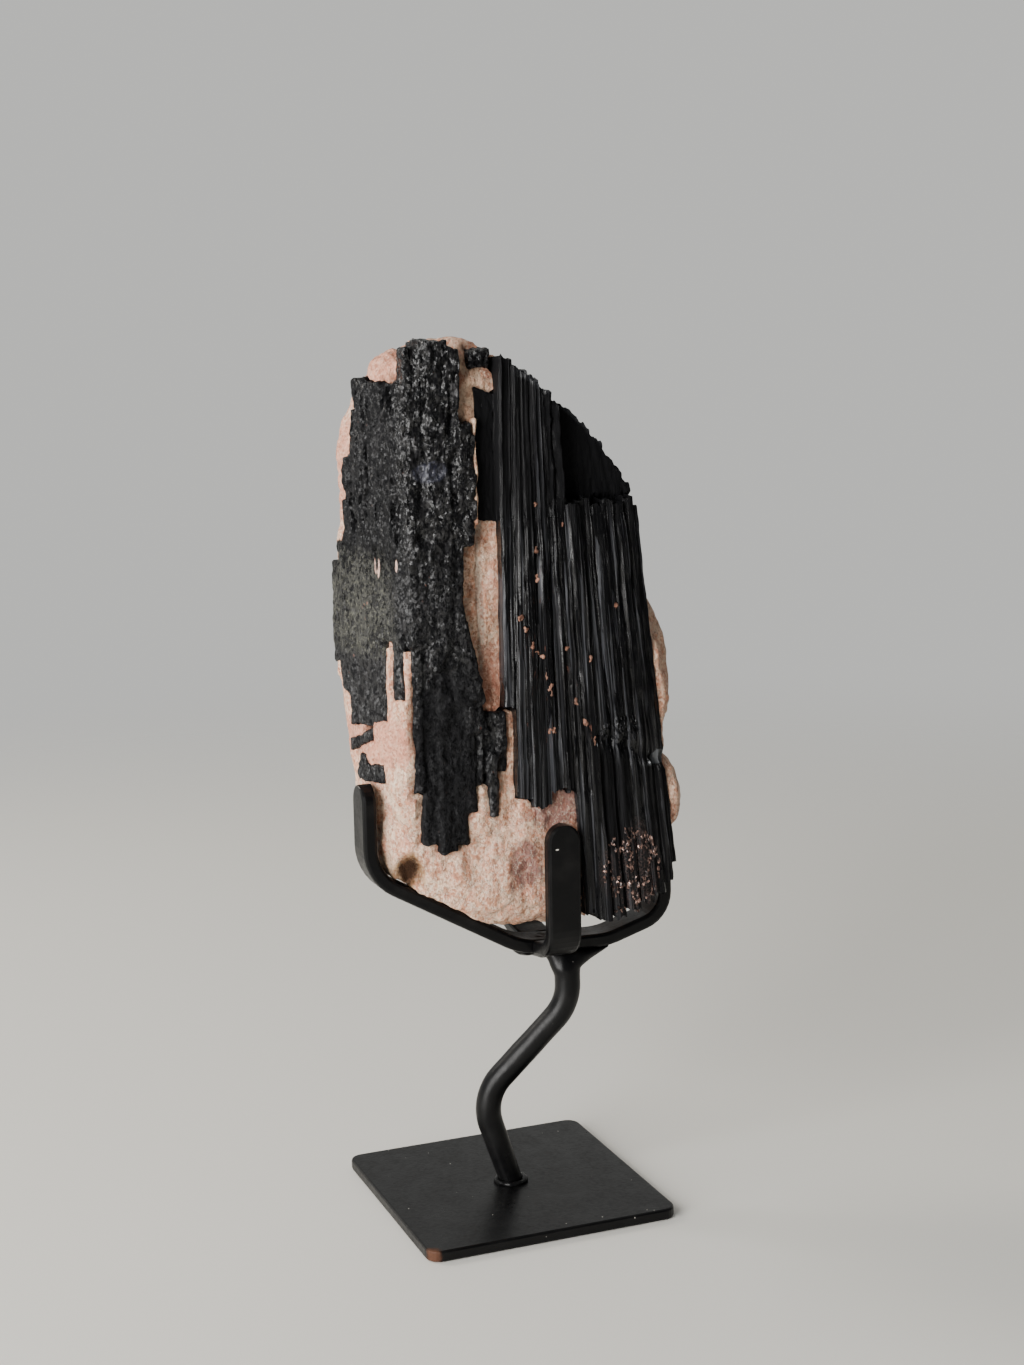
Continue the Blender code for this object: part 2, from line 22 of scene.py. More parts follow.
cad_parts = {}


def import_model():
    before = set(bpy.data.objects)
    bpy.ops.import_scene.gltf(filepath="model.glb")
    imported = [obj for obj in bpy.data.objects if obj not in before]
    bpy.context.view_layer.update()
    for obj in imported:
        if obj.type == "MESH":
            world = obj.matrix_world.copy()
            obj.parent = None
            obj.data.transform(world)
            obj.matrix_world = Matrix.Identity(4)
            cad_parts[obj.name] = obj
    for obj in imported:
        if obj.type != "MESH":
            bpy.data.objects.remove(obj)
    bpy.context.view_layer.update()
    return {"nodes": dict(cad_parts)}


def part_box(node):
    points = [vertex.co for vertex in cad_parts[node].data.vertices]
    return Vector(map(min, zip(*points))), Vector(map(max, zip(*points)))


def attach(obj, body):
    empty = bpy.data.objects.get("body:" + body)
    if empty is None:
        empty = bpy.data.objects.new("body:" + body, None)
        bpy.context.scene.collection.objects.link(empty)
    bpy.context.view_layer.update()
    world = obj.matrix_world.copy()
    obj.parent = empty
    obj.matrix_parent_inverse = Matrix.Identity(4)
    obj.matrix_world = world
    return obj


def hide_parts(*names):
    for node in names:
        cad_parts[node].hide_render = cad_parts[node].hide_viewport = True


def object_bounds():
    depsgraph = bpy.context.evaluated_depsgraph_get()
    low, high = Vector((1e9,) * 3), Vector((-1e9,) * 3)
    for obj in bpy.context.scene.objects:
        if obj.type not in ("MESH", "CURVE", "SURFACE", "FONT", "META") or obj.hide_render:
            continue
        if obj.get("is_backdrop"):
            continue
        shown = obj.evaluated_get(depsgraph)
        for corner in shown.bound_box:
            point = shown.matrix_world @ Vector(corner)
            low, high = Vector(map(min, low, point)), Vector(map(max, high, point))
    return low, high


MM = 0.001
MERGE = 1e-6                    # vertices of a solid's copy closer than this are one, in metres
BEFORE = -60.0                  # a Y before the whole part, where a ray towards the front starts
BODY = "root"
NOISE_SEED = 7                  # without it the vector noise differs from run to run
LOG = logging.getLogger("specimen")

Relief = Callable[[Vector, Vector], Vector]
Colour = tuple[float, float, float, float]


class Slot(Enum):
    """The record's material slots."""

    IRON = "black_iron"
    TOURMALINE = "black_tourmaline"
    FELDSPAR = "feldspar"


def colour(red: float, green: float, blue: float) -> Colour:
    """A linear colour from the 0 to 255 values that a screen shows.

    Args:
        red: Red as a screen value.
        green: Green as a screen value.
        blue: Blue as a screen value.

    Returns:
        The linear colour with full alpha.
    """
    linear = []
    for value in (red, green, blue):
        share = value / 255
        linear.append(share / 12.92 if share < 0.04045 else ((share + 0.055) / 1.055) ** 2.4)
    return (linear[0], linear[1], linear[2], 1.0)


def smooth(value: float, start: float, end: float) -> float:
    """A soft step from 0 at start to 1 at end."""
    share = min(max((value - start) / (end - start), 0.0), 1.0)
    return share * share * (3 - 2 * share)


def grain(place: Vector, across: float, along: float, seed: float = 0.0) -> float:
    """Noise that is stretched along Z.

    Args:
        place: Where it is read, in millimetres.
        across: Usual size across.
        along: Usual size along Z.
        seed: Shift that gives another draw.

    Returns:
        A value from about -1 to 1.
    """
    return noise.noise(Vector((place.x / across + seed, place.y / across, place.z / along)))


def meshed(bm: bmesh.types.BMesh, name: str) -> bpy.types.Mesh:
    """Turn what was modelled into a mesh.

    Args:
        bm: What was modelled, which is used up.
        name: The mesh's name.

    Returns:
        The mesh.
    """
    mesh = bpy.data.meshes.new(name)
    bm.to_mesh(mesh)
    bm.free()
    return mesh


def placed(name: str, data: Any) -> bpy.types.Object:
    """Put a mesh, a light or a camera in the scene.

    Args:
        name: The object's name.
        data: What it shows.

    Returns:
        The object.
    """
    obj = bpy.data.objects.new(name, data)
    bpy.context.collection.objects.link(obj)
    return obj


def shaped(bm: bmesh.types.BMesh, verts: Any, size: Iterable[float], place: Iterable[float]) -> None:
    """Scale some vertices about the origin and then move them to a place."""
    bmesh.ops.scale(bm, vec=size, verts=verts)
    bmesh.ops.translate(bm, vec=place, verts=verts)


def skin(bm: bmesh.types.BMesh) -> BVHTree:
    """The surface of what was modelled, for measuring.

    Args:
        bm: What was modelled, which is used up.

    Returns:
        Its surface.
    """
    tree = BVHTree.FromBMesh(bm)
    bm.free()
    return tree


def front_point(ground: BVHTree, x: float, z: float) -> Optional[Vector]:
    """The point of a surface that a place of the front shows, or None beside the surface."""
    return ground.ray_cast(Vector((x, BEFORE, z)), Vector((0, 1, 0)))[0]


class Wire:
    """A value in a material's nodes, with the arithmetic that the recipes use."""

    def __init__(self, recipe: "Sheet", socket: bpy.types.NodeSocket) -> None:
        """Keep the socket that carries the value."""
        self.recipe = recipe
        self.socket = socket

    def maths(self, operation: str, *values: "Value") -> "Wire":
        """Add one Math node.

        Args:
            operation: The node's operation.
            values: Its inputs in order.

        Returns:
            The node's result.
        """
        return self.recipe.wire("ShaderNodeMath", {"operation": operation}, dict(enumerate(values)))

    def __add__(self, other: "Value") -> "Wire":
        """Sum."""
        return self.maths("ADD", self, other)

    def __sub__(self, other: "Value") -> "Wire":
        """Difference."""
        return self.maths("SUBTRACT", self, other)

    def __rsub__(self, other: "Value") -> "Wire":
        """Difference from a number."""
        return self.maths("SUBTRACT", other, self)

    def __mul__(self, other: "Value") -> "Wire":
        """Product."""
        return self.maths("MULTIPLY", self, other)

    def __truediv__(self, other: "Value") -> "Wire":
        """Quotient."""
        return self.maths("DIVIDE", self, other)

    def __pow__(self, other: "Value") -> "Wire":
        """Power."""
        return self.maths("POWER", self, other)

    def __abs__(self) -> "Wire":
        """Size without its sign."""
        return self.maths("ABSOLUTE", self)

    def least(self, other: "Value") -> "Wire":
        """The smaller of two values."""
        return self.maths("MINIMUM", self, other)

    def most(self, other: "Value") -> "Wire":
        """The larger of two values."""
        return self.maths("MAXIMUM", self, other)

    def step(self, start: float, end: float, low: float = 0.0, high: float = 1.0) -> "Wire":
        """A soft step from low to high.

        Args:
            start: Value where it begins.
            end: Value where it is over.
            low: Result before start.
            high: Result after end.

        Returns:
            The stepped value.
        """
        sockets = {"Value": self, "From Min": start, "From Max": end, "To Min": low, "To Max": high}
        return self.recipe.wire("ShaderNodeMapRange", {"interpolation_type": "SMOOTHSTEP"}, sockets)

    __radd__ = __add__


Value = Union[float, Wire]


class Sheet:
    """A node tree that nodes are added to."""

    def __init__(self, tree: bpy.types.NodeTree) -> None:
        """Keep the tree."""
        self.tree = tree

    def node(self, kind: str, settings: dict[str, Any], inputs: dict[Any, Any]) -> bpy.types.Node:
        """Add a node.

        Args:
            kind: The node's type name.
            settings: Its own settings, set first.
            inputs: Values or wires of its sockets, by name or number.

        Returns:
            The node.
        """
        made = self.tree.nodes.new(kind)
        for name, value in settings.items():
            setattr(made, name, value)
        for key, value in inputs.items():
            if isinstance(value, Wire):
                self.tree.links.new(value.socket, made.inputs[key])
            else:
                made.inputs[key].default_value = value
        return made

    def wire(self, kind: str, settings: dict[str, Any], inputs: dict[Any, Any], output: Any = 0) -> Wire:
        """Add a node and take one of its outputs.

        Args:
            kind: The node's type name.
            settings: Its own settings, set first.
            inputs: Values or wires of its sockets.
            output: Name or number of the output.

        Returns:
            That output.
        """
        return Wire(self, self.node(kind, settings, inputs).outputs[output])

    def vectors(self, operation: str, *values: Any, output: Any = 0) -> Wire:
        """Add one Vector Math node and take one of its outputs."""
        return self.wire("ShaderNodeVectorMath", {"operation": operation}, dict(enumerate(values)), output)

    def tint(self, under: Union[Colour, Wire], over: Union[Colour, Wire], share: Value) -> Wire:
        """Lay one colour over another.

        Args:
            under: The colour below.
            over: The colour on top.
            share: How much of it shows.

        Returns:
            The mixed colour.
        """
        return self.wire("ShaderNodeMix", {"data_type": "RGBA"}, {0: share, 6: under, 7: over}, 2)

    def layered(self, under: Union[Colour, Wire], *layers: tuple[Colour, Value]) -> Wire:
        """Lay several colours over one another.

        Args:
            under: The colour below.
            layers: Each further colour and how much of it shows.

        Returns:
            The mixed colour.
        """
        for over, share in layers:
            under = self.tint(under, over, share)
        return under


class Recipe(Sheet):
    """Builds the nodes of one material around its Principled shader."""

    def __init__(self, name: str) -> None:
        """Start a material with nodes.

        Args:
            name: The material's name.
        """
        self.material = bpy.data.materials.new(name)
        self.material.use_nodes = True
        super().__init__(self.material.node_tree)
        self.shader = self.tree.nodes["Principled BSDF"]
        coordinates = self.wire("ShaderNodeTexCoord", {}, {}, "Object")
        scaled = {"Vector": coordinates, "Scale": (1 / MM, 1 / MM, 1 / MM)}
        self.place = self.wire("ShaderNodeMapping", {}, scaled)
        axes = self.node("ShaderNodeSeparateXYZ", {}, {"Vector": self.place})
        self.x, self.y, self.z = (Wire(self, socket) for socket in axes.outputs)

    def join(self, x: Value, y: Value, z: Value) -> Wire:
        """A vector from three values."""
        return self.wire("ShaderNodeCombineXYZ", {}, {0: x, 1: y, 2: z})

    def stretched(self, across: float, along: float, shift: float = 0.0) -> Wire:
        """The place measured in grains of a given size.

        Args:
            across: Size of a grain across, in millimetres.
            along: Its size along Z.
            shift: Moves the pattern to another draw.

        Returns:
            The scaled place.
        """
        scale = (1 / across, 1 / across, 1 / along)
        inputs = {"Vector": self.place, "Location": (shift, shift, shift), "Scale": scale}
        return self.wire("ShaderNodeMapping", {}, inputs)

    def clouds(self, where: Wire, detail: float = 3.0, roughness: float = 0.55) -> Wire:
        """Noise between 0 and 1.

        Args:
            where: The scaled place.
            detail: Number of finer layers.
            roughness: Weight of the finer layers.

        Returns:
            The noise.
        """
        inputs = {"Vector": where, "Scale": 1.0, "Detail": detail, "Roughness": roughness}
        return self.wire("ShaderNodeTexNoise", {}, inputs)

    def cells(self, where: Wire, output: str = "Distance") -> Wire:
        """A pattern of irregular cells, from its distance, its colours or its centres."""
        return self.wire("ShaderNodeTexVoronoi", {}, {"Vector": where, "Scale": 1.0}, output)

    def frayed(self, where: Wire, amount: float) -> Wire:
        """A place that is shaken by noise, so that what is drawn with it has uneven edges."""
        noisy = self.wire("ShaderNodeTexNoise", {}, {"Vector": where, "Scale": 1.3, "Detail": 3.0}, "Color")
        return self.vectors("MULTIPLY_ADD", noisy, (amount, amount, amount), where)

    def facets(self, where: Wire) -> Wire:
        """A height in which each irregular cell is a flat face with a tilt of its own.

        Args:
            where: The scaled place.

        Returns:
            The height.
        """
        tilt = self.vectors("SUBTRACT", self.cells(where, "Color"), (0.5, 0.5, 0.5))
        local = self.vectors("SUBTRACT", where, self.cells(where, "Position"))
        return self.vectors("DOT_PRODUCT", tilt, local, output="Value")

    def reach(self, x: float, z: float, wide: float, high: float) -> Wire:
        """How far a point lies from a place of the front: 0 at its centre and 1 on its ellipse."""
        return ((self.x - x) / wide) ** 2.0 + ((self.z - z) / high) ** 2.0

    def spot(self, x: float, z: float, wide: float, high: float, ragged: Value = 0.0) -> Wire:
        """A soft patch on the front.

        Args:
            x: Its centre along X.
            z: Its height.
            wide: Half its width.
            high: Half its height.
            ragged: Added to the distance from its centre, to fray its edge.

        Returns:
            1 in the patch and 0 outside.
        """
        return (self.reach(x, z, wide, high) + ragged).step(1.35, 0.65)

    def relief(self, height: Wire, depth: float, under: Optional[Wire] = None) -> Wire:
        """Turn a height into a bumped normal.

        Args:
            height: The height.
            depth: What a height of 1 stands for, in millimetres.
            under: A normal that is already bumped.

        Returns:
            The new normal.
        """
        inputs: dict[Any, Any] = {"Height": height, "Strength": 1.0, "Distance": depth * MM}
        if under:
            inputs["Normal"] = under
        return self.wire("ShaderNodeBump", {}, inputs)

    def done(self, fixed: dict[str, float], varied: dict[str, Wire]) -> bpy.types.Material:
        """Set the shader and hand the material over.

        Args:
            fixed: Sockets that are the same all over.
            varied: Sockets that vary over the surface.

        Returns:
            The material.
        """
        for name, value in fixed.items():
            self.shader.inputs[name].default_value = value
        for name, value in varied.items():
            self.tree.links.new(value.socket, self.shader.inputs[name])
        return self.material

    def dulled(self, mask: Wire, shade: Colour, normal: Wire) -> None:
        """Let part of the surface swallow the light: a dull, dark colour that hardly reflects.

        Args:
            mask: Where it is.
            shade: Its colour.
            normal: Its normal.
        """
        inputs = {"Base Color": shade, "Roughness": 0.85, "Specular IOR Level": 0.16, "Normal": normal}
        self.give_way(mask, self.wire("ShaderNodeBsdfPrincipled", {}, inputs))

    def give_way(self, mask: Wire, other: Wire) -> None:
        """Let another shader show in place of the main one.

        Args:
            mask: Where it shows.
            other: That shader.
        """
        sockets = {0: mask, 1: Wire(self, self.shader.outputs[0]), 2: other}
        both = self.wire("ShaderNodeMixShader", {}, sockets)
        self.tree.links.new(both.socket, self.tree.nodes["Material Output"].inputs["Surface"])


@dataclass(frozen=True)
class BlackIron:
    """Satin black paint on forged iron, with small chips and a little rust."""

    slot: Slot = Slot.IRON
    paint: Colour = colour(8, 8, 9)
    worn: Colour = colour(36, 35, 34)
    chip: Colour = colour(190, 186, 178)
    rust: Colour = colour(96, 62, 44)
    front_corner: tuple[float, float] = (-36.5, -36.5)
    scuff_line: float = -14.0       # the scuffed part of the plate lies round this Y

    def material(self) -> bpy.types.Material:
        """The painted iron.

        Returns:
            The material.
        """
        recipe = Recipe("black_iron_paint")
        mottle = recipe.clouds(recipe.stretched(9.0, 9.0), 4.0)
        dust = recipe.clouds(recipe.stretched(1.4, 1.4, 5.0), 5.0, 0.7)
        speck = recipe.cells(recipe.stretched(2.6, 2.6))
        rare = recipe.clouds(recipe.stretched(7.0, 7.0, 11.0), 2.0)
        chips = speck.step(0.085, 0.05) * rare.step(0.56, 0.62)
        chips = chips + recipe.spot(8.6, 107.2, 0.5, 0.22) + recipe.spot(5.4, 79.4, 0.3, 0.25)
        beside = recipe.y - self.scuff_line
        scuffed = recipe.spot(2.0, 3.2, 16.0, 2.0) * beside.step(-9.0, -1.0)
        scuffed = scuffed * beside.step(9.0, 1.0) * dust.step(0.5, 0.62)
        away = (recipe.x - self.front_corner[0]) ** 2.0 + (recipe.y - self.front_corner[1]) ** 2.0
        rusty = (away + dust * 14.0).step(16.0, 7.0) * recipe.z.step(4.5, 3.6)
        shade = recipe.layered(self.paint, (self.worn, mottle.step(0.45, 0.8) * 0.30 + scuffed * 0.5),
                               (self.rust, rusty * 0.7), (self.chip, chips.least(1.0)))
        rough = mottle.step(0.3, 0.7, 0.27, 0.38) + dust.step(0.4, 0.7, 0.0, 0.10) + rusty * 0.3
        coat = recipe.clouds(recipe.stretched(1.1, 1.1, 3.0), 2.0) + mottle * 2.0
        return recipe.done({"Metallic": 0.0, "IOR": 1.42, "Specular IOR Level": 0.26},
                           {"Base Color": shade, "Roughness": rough,
                            "Normal": recipe.relief(coat - chips, 0.035)})


@dataclass(frozen=True)
class RoughTourmaline:
    """Black tourmaline broken across its grain: pitted, with small glinting faces."""

    slot: Slot = Slot.TOURMALINE
    black: Colour = colour(14, 14, 16)
    grey: Colour = colour(50, 48, 50)
    blue: Colour = colour(46, 47, 60)
    green: Colour = colour(60, 60, 54)
    lime: Colour = colour(114, 113, 96)
    stain: Colour = colour(140, 92, 76)
    pink: Colour = colour(206, 170, 154)

    def material(self) -> bpy.types.Material:
        """The rough, glinting black stone.

        Returns:
            The material.
        """
        recipe = Recipe("tourmaline_pitted")
        upright = recipe.clouds(recipe.stretched(1.6, 7.0), 4.0, 0.65)
        blotch = recipe.clouds(recipe.stretched(7.0, 11.0, 4.0), 3.0)
        fine = recipe.clouds(recipe.stretched(0.5, 0.8, 9.0), 3.0, 0.7)
        fray = (blotch - 0.5) * 2.4
        glint = recipe.facets(recipe.stretched(0.62, 0.86, 2.0))
        broad = recipe.facets(recipe.frayed(recipe.stretched(1.9, 3.2, 6.0), 0.7))
        matte = recipe.z.step(196.0, 184.0) * 0.75 + recipe.spot(-20.0, 130.0, 12.0, 26.0) * 0.25
        smoother = recipe.spot(-25.2, 213.2, 5.2, 2.8, fray)
        side = recipe.x.step(-33.0, -36.5) * recipe.z.step(160.0, 166.0) * recipe.z.step(196.0, 188.0)
        lichen = side * (blotch + fine * 0.35).step(0.56, 0.78)
        growth = recipe.clouds(recipe.stretched(1.2, 1.5, 14.0), 4.0, 0.75)
        crust = side * (growth + lichen * 0.10).step(0.49, 0.57)
        slit = (recipe.spot(-37.0, 187.4, 0.2, 2.6) + recipe.spot(-33.9, 188.4, 0.26, 1.7)).least(1.0)
        rusty = recipe.cells(recipe.stretched(2.3, 3.4, 8.0)).step(0.16, 0.1) * blotch.step(0.58, 0.66)
        shade = recipe.layered(
            self.black,
            (self.grey, upright.step(0.46, 0.74) * 0.55 + fine.step(0.55, 0.8) * 0.35),
            (self.blue, smoother * 0.8),
            (self.green, side * 0.10 + crust * 0.55),
            (self.lime, crust * fine.step(0.52, 0.62) * 0.45),
            (self.stain, rusty * 0.45),
            (self.pink, slit),
        )
        rough = upright.step(0.3, 0.75, 0.17, 0.36) + matte * 0.20 + lichen * 0.25 - smoother * 0.04
        height = glint * (1.0 - smoother * 0.8) * (1.0 - matte * 0.25)
        height = height + fine * 0.30 + upright * 0.25 + crust * 0.5
        normal = recipe.relief(height, 0.62, recipe.relief(broad * (1.0 - matte * 0.7), 1.0))
        # Dull, dark places: painted shade in the pits and on the left side (flank), and a darker finger and
        # lower part.
        pit = recipe.clouds(recipe.stretched(1.1, 1.7, 12.0), 4.0, 0.7).step(0.50, 0.56)
        finger = recipe.spot(-21.5, 130.0, 10.0, 30.0, fray)
        flank = recipe.x.step(-32.0, -35.0) * recipe.z.step(176.0, 190.0)
        below = recipe.z.step(200.0, 186.0)
        shade_and_dullness = (pit * 0.75 + finger * 0.65 + flank * 0.55 + below * 0.2).least(0.95)
        recipe.dulled(shade_and_dullness * (1.0 - (crust * 0.6 + slit).least(1.0)), self.black, normal)
        return recipe.done({"Metallic": 0.0, "IOR": 1.54},
                           {"Base Color": shade, "Roughness": rough.least(0.85), "Normal": normal})


@dataclass(frozen=True)
class Fan:
    """The right crystals' direction: upright at the left and leaning further in to the right."""

    middle: float = 150.0           # height where a crystal's place is measured
    span: float = 43.0              # place of the last crystal
    most: float = 0.115             # its lean, in X for each unit of height
    curve: float = 0.8              # below 1, the lean grows fastest at the left

    def lean(self, across: float) -> float:
        """Lean of the crystal at this place."""
        return -self.most * (max(across, 0.0) / self.span) ** self.curve

    def across(self, place: Vector) -> float:
        """Place of the crystal that holds a point.

        Args:
            place: The point.

        Returns:
            The crystal's place across the front.
        """
        found = place.x
        for _ in range(3):
            found = place.x - self.lean(found) * (place.z - self.middle)
        return found

    def wire(self, recipe: Recipe) -> Wire:
        """The same place in a material's nodes.

        Args:
            recipe: The material's nodes.

        Returns:
            The crystal's place across the front.
        """
        found = recipe.x
        for _ in range(2):
            lean = (found.most(0.0) / self.span) ** self.curve * -self.most
            found = recipe.x - lean * (recipe.z - self.middle)
        return found


@dataclass(frozen=True)
class StriatedTourmaline:
    """Black tourmaline on its natural faces: glossy, with fine grooves along the crystals."""

    fan: Fan
    slot: Slot = Slot.TOURMALINE
    black: Colour = colour(9, 9, 11)
    # The grey is painted reflection and painted light: on the streaks and along the top edge.
    grey: Colour = colour(60, 61, 65)
    facet_sheen_grey: Colour = colour(66, 68, 70)
    mauve: Colour = colour(84, 64, 60)
    stain: Colour = colour(134, 84, 66)
    recess_start: float = 10.6      # place where the broken ends and the recess begin
    recess_height: float = 204.0

    def material(self) -> bpy.types.Material:
        """The grooved, glossy black stone.

        Returns:
            The material.
        """
        recipe = Recipe("tourmaline_striated")
        across = self.fan.wire(recipe)
        depth = recipe.y
        wide = recipe.facets(recipe.join(across / 1.9, depth / 7.0, recipe.z / 90.0))
        slim = recipe.join(across / 0.62, depth / 4.0, recipe.z / 34.0 + 3.0)
        narrow = recipe.facets(slim)
        ribs = recipe.clouds(recipe.join(across / 0.8, depth / 2.4, recipe.z / 60.0), 3.0, 0.6)
        band = recipe.clouds(recipe.join(across / 1.6, depth / 5.0, recipe.z / 110.0 + 7.0), 1.0)
        blotch = recipe.clouds(recipe.stretched(5.0, 12.0), 3.0)
        fine = recipe.clouds(recipe.stretched(0.5, 0.7, 3.0), 3.0, 0.7)
        recess = across.step(self.recess_start, self.recess_start + 0.8)
        recess = recess * recipe.z.step(self.recess_height, self.recess_height + 1.5)
        hollow = across.step(-4.7, -5.3) * depth.step(-15.6, -15.0) * recipe.z.step(190.0, 198.0)
        fray = (blotch - 0.5) * 2.0
        sunk = recipe.spot(28.0, 119.0, 4.6, 15.0, fray)
        # Painted light: a lighter grey band along the sloping top edge, where it catches the light from
        # above.
        along = recipe.x + 2.5
        lit_top_edge = (recipe.z + along * 0.45 + along ** 2.0 * 0.0095).step(238.6, 240.6) * along.step(1.0, 3.0)
        glitter = recipe.spot(33.0, 98.0, 9.5, 13.0, fray)
        above = recipe.z.step(192.0, 208.0)
        # Painted reflection: pale grey streaks on some narrow faces, standing in for the light that they
        # reflect.
        pale = recipe.cells(recipe.join(across / 1.05, depth / 6.0, recipe.z / 30.0 + 11.0), "Color")
        # Painted highlight: a bright upright strip along the edge of a column.
        lit_strip = abs(across - 8.2).step(1.5, 1.1) * recipe.z.step(198.0, 206.0)
        sheen_streak = (pale.step(0.62, 0.66) * (1.0 - above * 0.8) + lit_strip * 0.6).least(1.0)
        sheen_streak = sheen_streak * ribs.step(0.36, 0.50)
        # Painted reflection on the flat face at the lower right.
        sheen_facet = self.sheen_facet(recipe)
        seam = self.seams(recipe, across, blotch, fine)
        shade = recipe.layered(
            self.black,
            (self.grey, sheen_streak * band.step(0.35, 0.55, 0.55, 1.0) + lit_top_edge * 0.35),
            (self.facet_sheen_grey, sheen_facet),
            (self.mauve, glitter * fine.step(0.46, 0.6) * 0.5),
            (self.stain, seam),
        )
        rough = sheen_streak.step(0.0, 1.0, 0.12, 0.30) + blotch.step(0.35, 0.7, 0.0, 0.10) + lit_top_edge * 0.2 + seam * 0.3
        smoothed = 1.0 - (recess + hollow + sheen_facet).least(1.0)
        normal = recipe.relief(wide * smoothed, 0.9)
        normal = recipe.relief(narrow * smoothed, 0.5, normal)
        normal = recipe.relief(abs(ribs - 0.5) * 3.0 * smoothed + fine * 0.5, 0.14, normal)
        # Dull, dark places: painted shade in the recess, on the dark column and in the gaps between the
        # narrow faces; the patch below the broken line, the top and the bottom are also darker.
        gap = recipe.cells(slim, "Color").step(0.42, 0.36)
        deep = ((recess + hollow) * 0.9 + sunk * 0.6 + gap * 0.65 + above * (0.85 - lit_strip * 0.5)
                + recipe.z.step(136.0, 124.0) * 0.35).least(0.94)
        recipe.dulled(deep * (1.0 - (lit_top_edge + sheen_facet).least(1.0)), self.black, normal)
        return recipe.done({"Metallic": 0.0, "IOR": 1.5, "Specular IOR Level": 0.36},
                           {"Base Color": shade, "Roughness": rough.least(0.9), "Normal": normal})

    def sheen_facet(self, recipe: Recipe) -> Wire:
        """The flat face at the lower right, cut off on all its sides, painted grey for the light that it
        reflects.

        Args:
            recipe: The material's nodes.

        Returns:
            1 on the face and 0 outside.
        """
        slope = (recipe.z - 127.4) * 0.9 - (recipe.x - 38.2)
        sides = slope.step(0.3, -0.3) * recipe.z.step(127.2, 127.8) * recipe.x.step(46.0, 45.4)
        return sides * (recipe.z + recipe.x * 0.16).step(138.9, 138.3) * recipe.y.step(0.0, -2.0)

    def seams(self, recipe: Recipe, across: Wire, blotch: Wire, fine: Wire) -> Wire:
        """Feldspar stains in the grooves, thickest along a seam that runs down to the right.

        Args:
            recipe: The material's nodes.
            across: Place across the crystals.
            blotch: Broad noise.
            fine: Fine noise.

        Returns:
            How much of the stain shows.
        """
        drop = (recipe.x - 7.0) * 2.3 + (recipe.z - 171.0)
        band = abs(drop).step(6.0, 1.0) * recipe.z.step(122.0, 130.0) * recipe.z.step(176.0, 170.0)
        middle = recipe.spot(6.0, 162.0, 6.0, 26.0)
        thread = recipe.clouds(recipe.join(across / 0.7, recipe.y / 2.0, recipe.z / 5.0), 2.0)
        shown = (band * 0.8 + middle * 0.7).least(1.0) * (thread + fine * 0.3).step(0.80, 0.90)
        return shown * blotch.step(0.4, 0.55)


